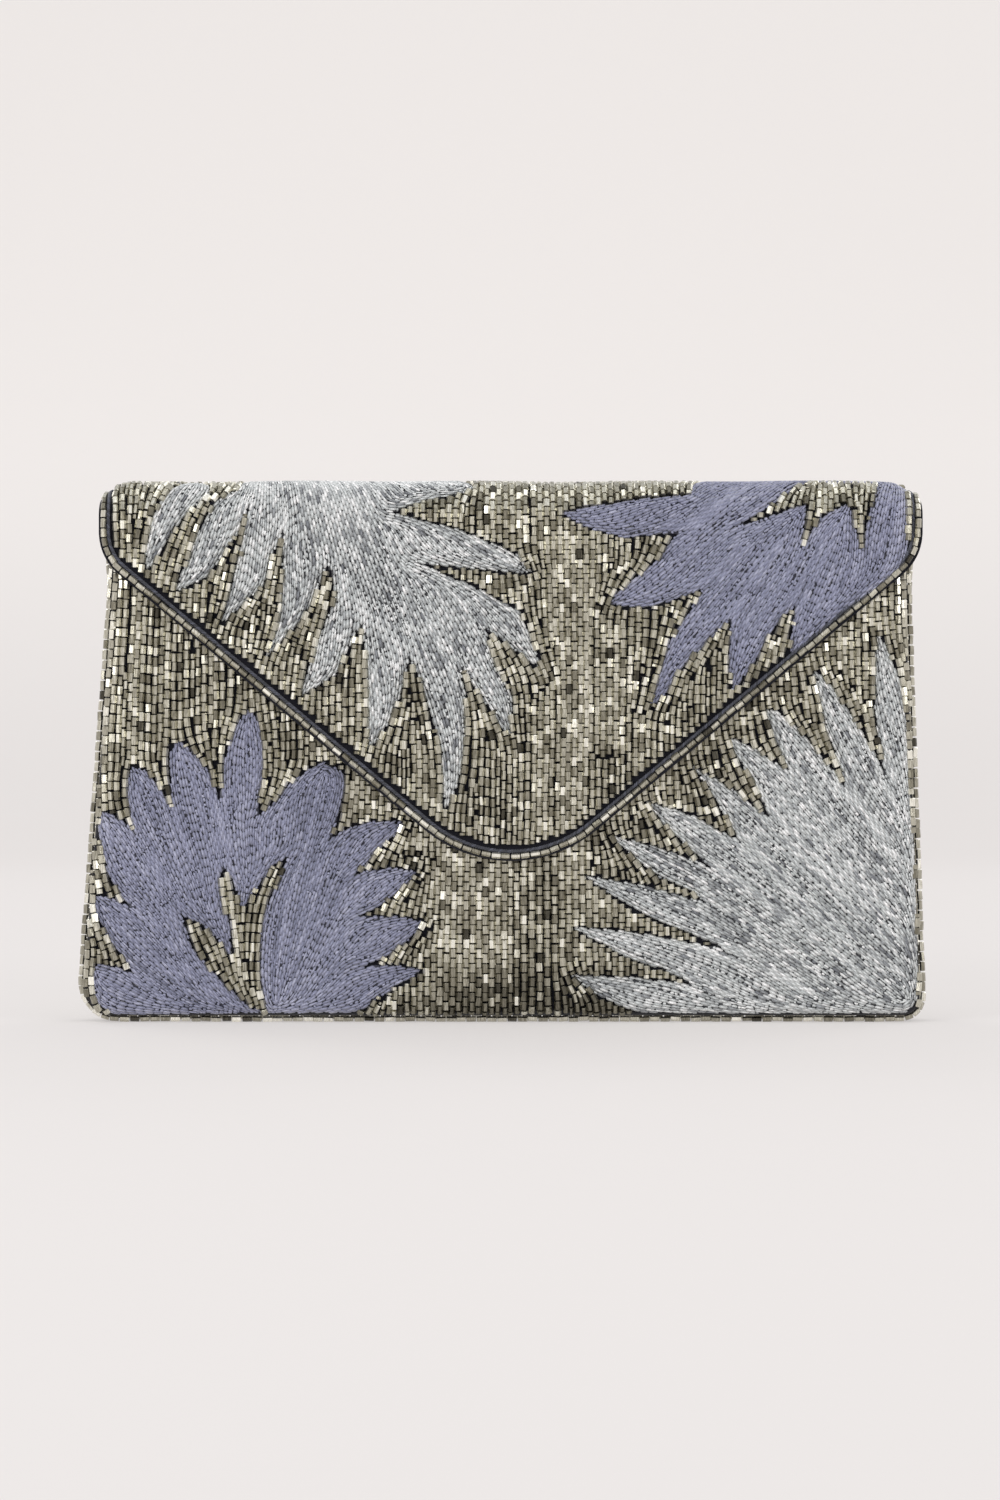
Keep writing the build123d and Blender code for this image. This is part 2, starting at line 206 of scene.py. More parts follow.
def smooth_step(value):
    value = np.clip(value, 0, 1)
    return value * value * (3 - 2 * value)


def half_width(z, flared):
    """Half of a panel's width at a height."""
    half = (CASE_WIDTH + (MOUTH_WIDTH - CASE_WIDTH) * z / MOUTH_HEIGHT) / 2
    if not flared:
        return half
    return half + (FLAP_HALF - half) * smooth_step((z - FLARE_FROM + 8) / (FOLD_Z - FLARE_FROM + 8))


def edge_of(x, z, flared):
    """How far a point lies inside a panel's outline, and the direction in from the nearest edge."""
    middle = LEAN * np.clip(z / MOUTH_HEIGHT, 0, 1)
    half = half_width(z, flared)
    left = x - (middle - half)
    right = (middle + half) - x
    inset = np.minimum(np.minimum(left, right), z)
    ux = np.where(inset == left, 1.0, np.where(inset == right, -1.0, 0.0))
    uz = np.where(ux == 0, 1.0, 0.0)
    for side, sign, corner in ((left, 1.0, CORNERS[0]), (right, -1.0, CORNERS[1])):
        near = (side < corner) & (z < corner)
        reach = np.maximum(np.hypot(corner - side, corner - z), 1e-6)
        inset = np.where(near, corner - reach, inset)
        ux = np.where(near, sign * (corner - side) / reach, ux)
        uz = np.where(near, (corner - z) / reach, uz)
    return inset, ux, uz


def crown(x, z):
    """How far wadding lifts the cloth in the middle of a panel."""
    across = np.clip(1 - ((x - LEAN) / 135) ** 2, 0, 1)
    return CROWN * across * np.clip(1 - ((z - 80) / 95) ** 2, 0, 1)


def panel_place(x, z, h, flared):
    """Place of a point of a panel's cloth, h above it: x, distance from the seam's plane, height."""
    inset, ux, uz = edge_of(x, z, flared)
    soft = 1 - smooth_step((z - FOLD_Z + 14) / 12) if flared else np.ones_like(x + z)
    turn = np.clip((EDGE_ROUND - inset) / (EDGE_ROUND - 1), 0, math.pi / 2) * soft
    radius = PANEL_CLOTH - EDGE_MIDDLE + h
    shift = np.where(inset < EDGE_ROUND, EDGE_ROUND - radius * np.sin(turn) - inset, 0) * soft
    lift = crown(x, z) * np.clip(inset / 12, 0, 1) * (h > -CLOTH_THICK - 0.01)
    return x + ux * shift, EDGE_MIDDLE + radius * np.cos(turn) + lift, z + uz * shift


def on_front(x, z, h):
    """Row-frame place, in metres, of a point of the front panel's cloth."""
    x, off, z = panel_place(x, z, h, False)
    return np.stack([x, SEAM_Y - off, z], -1) * MM


def on_wrap(x, s, h):
    """Row-frame place, in metres, of a point of the flap, fold and back cloth."""
    x, s, h = np.broadcast_arrays(np.asarray(x, float), s, h)
    angle = np.clip((s - FOLD_Z) / FOLD_RUN, 0, math.pi)
    radius = FOLD_CLOTH + h
    y = -radius * np.cos(angle)
    nearness = np.clip((np.abs(x - LEAN) - FLAP_HALF + FOLD_END_LENGTH) / FOLD_END_LENGTH, 0, 1)
    press = 1 - FOLD_END_DROP * nearness ** 2.5 - 0.026 - 0.026 * np.sin(x / 13) * np.sin(x / 31 + 1)
    z = np.where(s < FOLD_Z, s, FOLD_Z + radius * np.sin(angle) * press)
    y = y - np.where(s < FOLD_Z, crown(x, s) * smooth_step((FOLD_Z - s) / 25), 0)
    back_x, off, back_z = panel_place(x, FOLD_Z - (s - RUN_BACK), h, True)
    behind = s > RUN_BACK
    place = [np.where(behind, back_x, x), np.where(behind, SEAM_Y + off, y), np.where(behind, back_z, z)]
    return np.stack(place, -1) * MM


def cloth_shell(name, x, s, place, outer, inner, material):
    """A closed piece of cloth over a grid of laid-out points, between two heights above the cloth."""
    rows, columns = x.shape
    skin = [place(x, s, h).reshape(-1, 3) for h in (outer, inner)]
    count = rows * columns
    index = np.arange(count).reshape(rows, columns)
    quads = np.stack([index[:-1, :-1], index[:-1, 1:], index[1:, 1:], index[1:, :-1]], -1).reshape(-1, 4)
    rim = np.concatenate([index[0, :], index[1:, -1], index[-1, -2::-1], index[-2:0:-1, 0]])
    after = np.roll(rim, -1)
    side = np.stack([after, rim, rim + count, after + count], -1)
    faces = np.concatenate([quads, quads[:, ::-1] + count, side])
    return plain_mesh(name, np.concatenate(skin), faces, material)


# Navy plain-weave cotton, dyed, matt, that shows between the beads and at the hems. Its colour is darkened to
# near black: partly the cloth's navy dye, partly painted shade for the deep gaps between beads
THREAD_SPACING = 0.45 * MM
base_cloth, tree, shader = start_material(
    "woven_navy_cotton_with_painted_gap_shade", {"Roughness": 0.85, "Sheen Weight": 0.25, "Specular IOR Level": 0.2})
where = put(tree, "ShaderNodeTexCoord")
weave = []
for axis in ("X", "Z"):
    weave.append(put(tree, "ShaderNodeTexWave", {"bands_direction": axis}, {
        "Vector": where.outputs["Object"], "Scale": math.pi / 10 / THREAD_SPACING,
        "Distortion": 0.6, "Detail": 1.0, "Detail Scale": 2.0}))
both = put(tree, "ShaderNodeMath", {"operation": "MULTIPLY"},
           {0: weave[0].outputs["Fac"], 1: weave[1].outputs["Fac"]})
wear = put(tree, "ShaderNodeTexNoise", inputs={"Vector": where.outputs["Object"], "Scale": 90.0})
depth = put(tree, "ShaderNodeMath", {"operation": "MULTIPLY_ADD"},
            {0: both.outputs[0], 1: 0.6, 2: wear.outputs["Fac"]})
ramp = put(tree, "ShaderNodeMapRange", inputs={"Value": depth.outputs[0], "From Max": 1.3})
# painted shade: both ends of the tint are darkened to near black for the gaps between beads
tint = put(tree, "ShaderNodeMix", {"data_type": "RGBA"},
           {0: ramp.outputs[0], 6: colour("#050509"), 7: colour("#171824")})
tree.links.new(tint.outputs[2], shader.inputs["Base Color"])
bump = put(tree, "ShaderNodeBump", inputs={"Height": both.outputs[0], "Strength": 0.4, "Distance": 0.1 * MM})
tree.links.new(bump.outputs[0], shader.inputs["Normal"])

# Navy acetate satin: fine smooth warp threads, which give the eye a soft, faintly ribbed shine
satin, tree, shader = start_material(
    "navy_acetate_satin", {"Roughness": 0.46, "Sheen Weight": 0.25, "Specular IOR Level": 0.35})
where = put(tree, "ShaderNodeTexCoord")
stretch = put(tree, "ShaderNodeMapping", inputs={"Vector": where.outputs["Object"], "Scale": (1, 1, 0.06)})
warp = put(tree, "ShaderNodeTexNoise", inputs={"Vector": stretch.outputs[0], "Scale": 2600.0, "Detail": 2.0})
cloud = put(tree, "ShaderNodeTexNoise", inputs={"Vector": where.outputs["Object"], "Scale": 22.0})
depth = put(tree, "ShaderNodeMath", {"operation": "ADD"}, {0: warp.outputs["Fac"], 1: cloud.outputs["Fac"]})
ramp = put(tree, "ShaderNodeMapRange", inputs={"Value": depth.outputs[0], "From Min": 0.6, "From Max": 1.4})
tint = put(tree, "ShaderNodeMix", {"data_type": "RGBA"},
           {0: ramp.outputs[0], 6: colour("#191b2c"), 7: colour("#2b2e47")})
tree.links.new(tint.outputs[2], shader.inputs["Base Color"])
bump = put(tree, "ShaderNodeBump",
           inputs={"Height": depth.outputs[0], "Strength": 0.25, "Distance": 0.2 * MM})
tree.links.new(bump.outputs[0], shader.inputs["Normal"])

# ---- Front panel's cloth ----
# Navy cotton pulled over thin wadding and a board, rolled round the panel's edge into the
# seam with the gusset.
CLOTH_REACH = -1.85         # laid-out distance past the outline where the rolled cloth ends


def panel_grid(top, flared, columns, inset=CLOTH_REACH):
    """Laid-out points of a whole panel, pulled in by an inset, from its bottom edge to a height."""
    low = inset + np.array([0, 0.25, 0.75, 1.45, 2.35, 3.45, 4.85, 6.45, 8.35, 10.85, 13.35, 15.85, 18.85])
    heights = np.concatenate([low, np.linspace(low[-1] + 3, top, int((top - 20) / 2.5))])
    across = np.linspace(-1, 1, columns)
    across = np.sign(across) * (1 - (1 - np.abs(across)) ** 1.25)
    rows = []
    for z in heights:
        half = half_width(z, flared) - inset
        middle = LEAN * min(max(z / MOUTH_HEIGHT, 0), 1)
        ends = []
        for sign, corner in ((-1, CORNERS[0]), (1, CORNERS[1])):
            reach = corner - inset
            drop = max(corner - z, 0)
            cut = reach - math.sqrt(max(reach * reach - drop * drop, 0))
            ends.append(middle + sign * (half - cut))
        rows.append((ends[0] + ends[1]) / 2 + across * (ends[1] - ends[0]) / 2)
    return np.array(rows), np.repeat(heights[:, None], columns, 1)


grid_x, grid_z = panel_grid(MOUTH_HEIGHT, False, 121)
front_cloth = cloth_shell("front_panel_cloth", grid_x, grid_z, on_front, 0.0, -PAD_THICK, base_cloth)
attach(front_cloth, "case")
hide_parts("front_fabric", "front_padding")

# ---- Back panel's and fold's cloth ----
# The same cotton over the back board, which carries on over the fold as its rear half.
grid_x, grid_z = panel_grid(FOLD_Z, True, 121)
arc = np.linspace(RUN_BACK, RUN_TOP, 22)[1:]
grid_s = np.concatenate([RUN_BACK + FOLD_Z - grid_z, np.repeat(arc[:, None], 121, 1)])
grid_x = np.concatenate([grid_x, np.repeat(grid_x[-1:] * 1.0, len(arc), 0)])
limit = np.where(grid_s < RUN_BACK + 3, FLAP_HALF, 999)
grid_x = np.clip(grid_x, LEAN - limit, LEAN + limit)


def in_back(x, s, h):
    """The wadding thins out where the back's cloth runs on over the fold."""
    thin = smooth_step((s - RUN_BACK) / 8)
    return on_wrap(x, s, np.where(h < 0, -FLAP_THICK + (h + FLAP_THICK) * thin, h))


back_cloth = cloth_shell("back_panel_cloth", grid_x, grid_s, in_back, 0.0, -PAD_THICK, base_cloth)
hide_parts("back_fabric", "back_padding")
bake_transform(back_cloth)

# ---- Flap's cloth ----
# Cotton over a soft board, cut to a shallow V with a rounded point. Its raw edge is turned
# in, and shows as a narrow dark hem outside the beads.
SHOULDER_Z = FOLD_TOP - 26.5
POINT_Z = FOLD_TOP - 138.8
POINT_ROUND = 44.0
SHOULDER_ROUND = 18.0


def round_corner(path, corner, nxt, radius, steps):
    """Adds to a path an arc of a radius that cuts the corner between its last point and the next."""
    a, b, c = (np.array(p, float) for p in (path[-1], corner, nxt))
    u = (a - b) / np.hypot(*(a - b))
    v = (c - b) / np.hypot(*(c - b))
    half = math.acos(float(np.clip(u @ v, -1, 1))) / 2
    centre = b + (u + v) / np.hypot(*(u + v)) * radius / math.sin(half)
    start = b + u * radius / math.tan(half) - centre
    end = b + v * radius / math.tan(half) - centre
    sweep = math.acos(float(np.clip(start @ end / radius ** 2, -1, 1)))
    for k in range(steps + 1):
        t = k / steps
        swung = start * math.sin((1 - t) * sweep) + end * math.sin(t * sweep)
        path.append(centre + swung / math.sin(sweep))


def pull_in(path, inset):
    """A path at even small steps, moved to its left by an inset."""
    dense = even_path(np.array(path), 0.5)
    ahead = np.gradient(dense, axis=0)
    ahead /= np.hypot(ahead[:, 0], ahead[:, 1])[:, None]
    return dense + np.stack([-ahead[:, 1], ahead[:, 0]], -1) * inset


def flap_edge(inset):
    """The flap's edge pulled in by an inset, as laid-out points from back left round to back right."""
    left, right = LEAN - FLAP_HALF, LEAN + FLAP_HALF
    path = [np.array((left, RUN_BACK))]
    round_corner(path, (left, SHOULDER_Z), (LEAN, POINT_Z), SHOULDER_ROUND, 12)
    round_corner(path, (LEAN, POINT_Z), (right, SHOULDER_Z), POINT_ROUND, 24)
    round_corner(path, (right, SHOULDER_Z), (right, RUN_BACK), SHOULDER_ROUND, 12)
    path.append(np.array((right, RUN_BACK)))
    return pull_in(path, inset)


def even_path(path, step):
    """Points at an even step along a path."""
    reach = np.concatenate([[0], np.cumsum(np.hypot(*np.diff(path, axis=0).T))])
    at = np.linspace(0, reach[-1], max(int(round(reach[-1] / step)), 1) + 1)
    return np.stack([np.interp(at, reach, path[:, 0]), np.interp(at, reach, path[:, 1])], -1)


def flap_grid(inset, columns=141):
    """Laid-out points of the flap from its V edge up to the top of the fold."""
    edge = flap_edge(inset)
    edge = edge[edge[:, 1] < SHOULDER_Z + 8]
    across = np.linspace(-1, 1, columns)
    across = np.sign(across) * (1 - (1 - np.abs(across)) ** 1.5)
    x = LEAN + across * (FLAP_HALF - inset)
    order = np.argsort(edge[:, 0])
    low = np.interp(x, edge[order, 0], edge[order, 1])
    fall = np.linspace(0, 1, 46)[:, None]
    hang = low[None, :] + (160 - low[None, :]) * fall
    arc = np.repeat(np.linspace(160, RUN_TOP, 22)[1:, None], columns, 1)
    s = np.concatenate([hang, arc])
    return np.repeat(x[None, :], len(s), 0), s


grid_x, grid_s = flap_grid(0.0)
flap_cloth = cloth_shell("flap_cloth", grid_x, grid_s, on_wrap, 0.0, -FLAP_THICK, base_cloth)
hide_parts("flap_fabric", "flap_board", "fold_fabric", "fold_interfacing")
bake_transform(flap_cloth)

# ---- Satin linings ----
# Navy satin behind the flap, over the inside of the fold and down the inside of the back.
LINING_INSET = 1.2
grid_x, grid_s = flap_grid(LINING_INSET)
flap_lining = cloth_shell("flap_satin_lining", grid_x, grid_s, on_wrap, -FLAP_THICK - 0.02,
                          -FLAP_THICK - LINING_THICK, satin)
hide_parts("flap_lining")
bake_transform(flap_lining)

BACK_LINING_IN = 4.0        # from the back's cloth to the inside of its lining
INSIDE_INSET = 4.2          # from the outline to the edge of the wall linings
grid_x, grid_z = panel_grid(FOLD_Z, True, 81, INSIDE_INSET)
grid_s = np.concatenate([RUN_BACK + FOLD_Z - grid_z, np.repeat(arc[:, None], 81, 1)])
grid_x = np.concatenate([grid_x, np.repeat(grid_x[-1:], len(arc), 0)])


def on_back_lining(x, s, h):
    """The back's lining lies behind the board, and comes up under the fold's soft board."""
    deep = smooth_step((s - RUN_BACK) / 10)
    h = h - FLAP_THICK - LINING_THICK - (BACK_LINING_IN - FLAP_THICK - LINING_THICK) * deep
    flat = on_wrap(x, np.minimum(s, RUN_BACK), h)
    behind = s > RUN_BACK
    flat[..., 2] = np.where(behind, (FOLD_Z - (s - RUN_BACK)) * MM, flat[..., 2])
    return flat


back_lining = cloth_shell("back_satin_lining", grid_x, grid_s, on_back_lining, LINING_THICK, 0.0, satin)
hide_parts("back_lining", "fold_lining")
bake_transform(back_lining)

CAVITY_HALF = 4.5           # from the seam's plane to the lining of either wall


def on_front_lining(x, z, h):
    """The front's lining, h towards the board: it stands a little slack off the board in places."""
    slack = 0.12 * np.sin(x / 19 + z / 60) * np.sin(z / 31) * np.clip(edge_of(x, z, False)[0] / 20, 0, 1)
    return np.stack([x, SEAM_Y - CAVITY_HALF - h + slack, z], -1) * MM


grid_x, grid_z = panel_grid(MOUTH_HEIGHT, False, 81, INSIDE_INSET)
front_lining = cloth_shell("front_satin_lining", grid_x, grid_z, on_front_lining, LINING_THICK, 0.0, satin)
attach(front_lining, "case")
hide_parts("front_lining")

# a flat pocket hemmed to the back's lining on three sides, its top edge turned over
POCKET_WIDE = 120.0
POCKET_HIGH = 85.0
POCKET_FLOOR = 28.0
POCKET_TURN = 7.0           # depth of the turned top edge
POCKET_THICK = 0.45


def on_pocket(x, z, h):
    """The pocket stands off the back's lining where it isn't sewn down, most at its open top."""
    rise = np.clip((z - POCKET_FLOOR) / POCKET_HIGH, 0, 1)
    slack = 0.55 * np.cos(x / POCKET_WIDE * math.pi) ** 0.6 * smooth_step(rise * 3) * (0.7 + 0.3 * rise)
    turned = smooth_step((z - POCKET_FLOOR - POCKET_HIGH + POCKET_TURN) * 2)
    return np.stack([x, SEAM_Y + CAVITY_HALF - 0.03 - slack - h * (1 + 0.5 * turned), z], -1) * MM


across = np.linspace(-0.4999, 0.4999, 61) * POCKET_WIDE
turn_line = POCKET_HIGH - POCKET_TURN
heights = POCKET_FLOOR + np.concatenate([
    np.linspace(0, turn_line - 0.6, 32), turn_line + np.array([-0.2, 0.1, 0.4]),
    np.linspace(turn_line + 1.5, POCKET_HIGH, 4)])
grid_x, grid_z = np.meshgrid(across, heights)
pocket = cloth_shell("slip_pocket_satin", grid_x, grid_z, on_pocket, POCKET_THICK, 0.0, satin)
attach(pocket, "case")
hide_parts("slip_pocket")

# ---- Leaves drawn on the cloth ----
# The outlines of the embroidery, as laid-out millimetres: four ragged leaves, two silver and
# two lavender. The flap's two run over the fold and end in rounded roots on its far side.
FLAP_SILVER = [
    (-86, 176), (-93, 170.5), (-97, 164), (-103, 149.5), (-106.5, 140.5), (-95.5, 146), (-89.5, 155),
    (-86, 160), (-82, 170), (-84.5, 156), (-87.5, 142.5), (-91.5, 130), (-84, 137), (-77, 143.5),
    (-75, 152.5), (-71, 161), (-71.5, 146), (-72.5, 131.5), (-77, 119), (-66, 131), (-62.5, 136),
    (-56.5, 150), (-55, 147), (-54.5, 137), (-60, 124.5), (-65.5, 106.5), (-62.5, 108.5),
    (-53.5, 114), (-51, 120), (-45.5, 130.5), (-44.5, 123.5), (-43.5, 105.5), (-43.5, 89.5),
    (-40, 92.5), (-35, 101), (-32, 110.5), (-30, 120), (-24, 105.5), (-19.5, 88), (-18.5, 70),
    (-17, 71), (-14, 79), (-11.5, 92.5), (-11.5, 105.5), (-13.5, 117.5), (-9, 110.5), (0, 97),
    (3.5, 92.5), (3.5, 107.5), (-1, 115.5), (-5.5, 129.5), (13.5, 115), (6, 134.5), (-9, 142.5),
    (-29, 150.5), (6, 147), (10, 147), (6, 152.5), (-13.5, 161), (-36.5, 166.5), (-24, 171.5),
    (-14, 173.5), (-9, 177), (-16, 193), (-33, 203), (-55, 206), (-75, 200), (-85, 189),
]
FLAP_SILVER_LEAFLET = [
    (-116, 148), (-116, 157.5), (-111.5, 170), (-109.5, 173.5), (-105, 182), (-98, 184), (-94.5, 175),
    (-104.5, 164), (-114.5, 149),
]
FLAP_LAVENDER = [
    (61.5, 177), (62, 173), (46, 171.5), (29.5, 168.5), (20, 166.5), (27.5, 162), (40, 158.5),
    (49.5, 159.5), (58.5, 160.5), (53.5, 155), (50, 150), (40, 142.5), (34.5, 136.5), (46, 136),
    (54.5, 137.5), (66, 142), (62.5, 136), (57, 128.5), (53.5, 120), (50, 110.5), (48.5, 103),
    (54.5, 108.5), (57.5, 115), (66, 123.5), (75, 132), (74.5, 123.5), (74.5, 115), (75.5, 108.5),
    (82, 117), (87.5, 127), (92.5, 133.5), (96, 136), (94.5, 124.5), (94.5, 120), (101, 126),
    (108.5, 132.5), (117, 138.5), (125, 143.5), (131, 149), (133, 160), (133, 178), (128, 192),
    (112, 202), (90, 203), (71, 195),
]
FLAP_BEAD_PATCH = [
    (102, 182), (88, 169), (74.5, 161), (90, 166), (99.5, 169.5), (97.5, 153.5), (104, 164.5),
    (113.5, 170), (117.5, 152.5), (120, 165.5), (124, 182),
]
FRONT_LAVENDER = [
    (-82.5, 103), (-79, 97), (-77.5, 88.5), (-77.5, 81.5), (-79, 74), (-80, 67), (-76.5, 70),
    (-71, 76), (-65, 81.5), (-58, 85.5), (-51, 81), (-51.5, 75), (-54, 65.5), (-56.5, 59.5),
    (-50.5, 63.5), (-42, 65.5), (-31.5, 66), (-34.5, 61.5), (-42, 55), (-49, 48), (-44, 49.5),
    (-36.5, 50.5), (-27.5, 49.5), (-31.5, 45), (-39, 39), (-47.5, 34.5), (-33.5, 34.5), (-25, 33),
    (-30.5, 27), (-39, 21), (-48, 18), (-33.5, 18.5), (-25.5, 17), (-32.5, 13), (-40, 8.5),
    (-46.5, 3), (-127, 2), (-132, 5.5), (-134.5, 11.5), (-134, 17), (-132.5, 19), (-126, 18),
    (-120, 15.5), (-124, 21.5), (-128.5, 27), (-131.5, 33.5), (-133.5, 39), (-133, 41.5),
    (-127.5, 40.5), (-119.5, 36.5), (-123.5, 40.5), (-128, 47), (-130.5, 54), (-132.5, 62.5),
    (-131.5, 69), (-127, 68), (-122.5, 64.5), (-119.5, 61), (-121.5, 66.5), (-122.5, 74),
    (-122.5, 80.5), (-121, 83.5), (-116.5, 82.5), (-111.5, 76), (-107.5, 68.5), (-108.5, 83.5),
    (-108, 89), (-106, 92.5), (-101.5, 89), (-96, 82.5), (-92, 71.5), (-90.5, 85.5), (-88.5, 94),
    (-85.5, 99),
]
FRONT_BEAD_WEDGES = [
    (-91, 51.5), (-87, 45), (-85, 37), (-79.5, 45), (-74, 52), (-69, 55), (-72.5, 47), (-77, 37.5),
    (-79, 27), (-80, 17), (-78.5, 9.5), (-77, 3), (-81, 4), (-87.5, 9.5), (-95, 17), (-101.5, 25),
    (-105, 35.5), (-98, 32), (-91.5, 26), (-88.5, 21), (-89, 31.5), (-91.5, 39.5), (-92, 47),
]
FRONT_SILVER = [
    (44.5, 3), (37.5, 6), (31, 9.5), (22.5, 15.5), (31, 15), (43, 14.5), (54, 13.5), (64.5, 12),
    (53, 17.5), (40, 22), (31, 27), (22.5, 31.5), (43, 29.5), (65, 25.5), (76, 23), (60.5, 30),
    (49.5, 34), (38.5, 40.5), (27, 48), (47.5, 44.5), (67.5, 39), (62, 43.5), (52, 47.5), (43, 54.5),
    (35.5, 61.5), (52, 57), (69.5, 50.5), (60.5, 58), (54, 64.5), (47, 72.5), (61.5, 68), (78.5, 59),
    (71.5, 71), (67, 78), (62.5, 84), (73, 78), (80.5, 72.5), (88.5, 66.5), (82.5, 79), (77, 87.5),
    (73.5, 94), (84, 89), (94.5, 81.5), (92.5, 86.5), (89, 94.5), (86, 102.5), (90.5, 102), (99, 94),
    (105.5, 86.5), (113, 76.5), (111.5, 83), (108, 92), (104.5, 101), (102, 115.5), (105.5, 113),
    (111.5, 105.5), (117, 97.5), (126, 80.5), (124, 90), (122.5, 101), (122, 115), (123, 128),
    (128, 119.5), (132, 107.5), (133, 98.5), (134, 86.5), (134.5, 73.5), (136, 55.5), (137, 18.5),
    (137, 8), (133, 2.5), (86, 2.5),
]


def within(outline, x, s):
    """Which points of a grid lie inside a closed outline."""
    hit = np.zeros(np.broadcast(x, s).shape, bool)
    for (xa, sa), (xb, sb) in zip(outline, outline[1:] + outline[:1]):
        crosses = (sa > s) != (sb > s)
        hit ^= crosses & (x < xa + (s - sa) * (xb - xa) / (sb - sa if sb != sa else 1))
    return hit


def blur(grid, reach):
    """A grid smoothed over a reach given in cells."""
    margin = int(3 * reach) + 1
    wide = np.pad(grid, margin, mode="edge")
    down = np.fft.fftfreq(wide.shape[0])[:, None]
    along = np.fft.rfftfreq(wide.shape[1])[None, :]
    fade = np.exp(-2 * (math.pi * reach) ** 2 * (down ** 2 + along ** 2))
    return np.fft.irfft2(np.fft.rfft2(wide) * fade, wide.shape)[margin:-margin, margin:-margin]


class Ground:
    """Laid-out cloth as a grid of square cells: where rows may run, and which way they lean."""

    def __init__(self, left, right, low, high, cell):
        self.corner = np.array((left, low), float)
        self.cell = cell
        self.x = np.arange(left, right, cell)[None, :]
        self.s = np.arange(low, high, cell)[:, None]
        self.shape = (self.s.shape[0], self.x.shape[1])

    def read(self, grid, x, s):
        """A grid's value at laid-out points."""
        row = np.clip(((s - self.corner[1]) / self.cell).astype(int), 0, self.shape[0] - 1)
        column = np.clip(((x - self.corner[0]) / self.cell).astype(int), 0, self.shape[1] - 1)
        return grid[row, column]

    def lean(self, outlines, reach, calm, calm_weight, steep=False):
        """Row directions that follow the outlines nearby, and the calm angle away from them.
        With steep, only outlines that stand within half a right angle or so of upright count."""
        cosines = np.zeros(self.shape)
        sines = np.zeros(self.shape)
        for outline in outlines:
            for a, b in zip(outline, outline[1:] + outline[:1]):
                a, b = np.array(a, float), np.array(b, float)
                length = np.hypot(*(b - a))
                turn = 2 * math.atan2(b[1] - a[1], b[0] - a[0])
                if steep and math.cos(turn) > 0.35:
                    continue
                at = a + (b - a) * np.arange(0, 1, self.cell / max(length, 0.01))[:, None]
                cells = ((at - self.corner) / self.cell).astype(int)
                cells = cells[np.all((cells >= 0) & (cells < self.shape[::-1]), axis=1)]
                np.add.at(cosines, (cells[:, 1], cells[:, 0]), math.cos(turn))
                np.add.at(sines, (cells[:, 1], cells[:, 0]), math.sin(turn))
        cosines = blur(cosines, reach / self.cell) * reach / self.cell + calm_weight * np.cos(2 * calm)
        sines = blur(sines, reach / self.cell) * reach / self.cell + calm_weight * np.sin(2 * calm)
        angle = np.arctan2(sines, cosines) / 2
        return np.cos(angle), np.sin(angle)


LONGEST_ROW = 1500          # points
SPARE_STARTS = 6000         # random places tried once the rows beside each other have run out


def lay_rows(ground, free, lean, spacing, pitch, starts, seed, closest=0.68):
    """Rows side by side over the free cells. Each is its points and their place in pitches."""
    chance = np.random.default_rng(seed)
    cell = ground.cell
    left, low = ground.corner
    blocked = ~free
    reach = int(math.ceil(spacing / cell))
    disc = np.array([(i, j) for i in range(-reach, reach + 1) for j in range(-reach, reach + 1)
                     if math.hypot(i, j) * cell < closest * spacing])
    step = spacing * 0.3
    cosines, sines = lean
    last_row, last_column = ground.shape[0] - 1, ground.shape[1] - 1

    def cell_of(x, s):
        return int((s - low) / cell), int((x - left) / cell)

    def shut(x, s):
        row, column = cell_of(x, s)
        return row < 0 or column < 0 or row > last_row or column > last_column or blocked[row, column]

    def walk(x, s, way):
        path = []
        before = None
        while len(path) < LONGEST_ROW:
            row, column = cell_of(x, s)
            dx, ds = cosines[row, column], sines[row, column]
            if before is None:
                dx, ds = dx * way, ds * way
            elif dx * before[0] + ds * before[1] < 0:
                dx, ds = -dx, -ds
            before = (dx, ds)
            x, s = x + dx * step, s + ds * step
            if shut(x, s):
                break
            path.append((x, s))
        # a row that meets another one runs on until their ends nearly touch
        for _ in range(2):
            row, column = cell_of(x, s)
            if not (0 <= row <= last_row and 0 <= column <= last_column and free[row, column]):
                break
            path.append((x, s))
            x, s = x + before[0] * step, s + before[1] * step
        return path

    rows = []
    queue = deque((x, s, 0.0) for x, s in starts)
    spare = np.argwhere(free)
    spare = spare[chance.permutation(len(spare))[:SPARE_STARTS]]
    spare = deque((left + (c + 0.5) * cell, low + (r + 0.5) * cell, chance.random()) for r, c in spare)
    while queue or spare:
        x, s, place = queue.popleft() if queue else spare.popleft()
        if shut(x, s):
            continue
        back = walk(x, s, -1)
        path = np.array(back[::-1] + [(x, s)] + walk(x, s, 1))
        places = place + (np.arange(len(path)) - len(back)) * step / pitch
        cells = ((path - ground.corner) / cell).astype(int)
        marks = (cells[:, None, ::-1] + disc[None]).reshape(-1, 2)
        keep = np.all((marks >= 0) & (marks <= (last_row, last_column)), axis=1)
        blocked[marks[keep, 0], marks[keep, 1]] = True
        if len(path) > 2:
            rows.append((path, places))
            ahead = np.gradient(path, axis=0)
            ahead /= np.hypot(ahead[:, 0], ahead[:, 1])[:, None]
            side = np.stack([-ahead[:, 1], ahead[:, 0]], -1) * spacing
            for k in range(0, len(path), 3):
                queue.append((*(path[k] + side[k]), places[k] + 0.5))
                queue.append((*(path[k] - side[k]), places[k] + 0.5))
    return rows


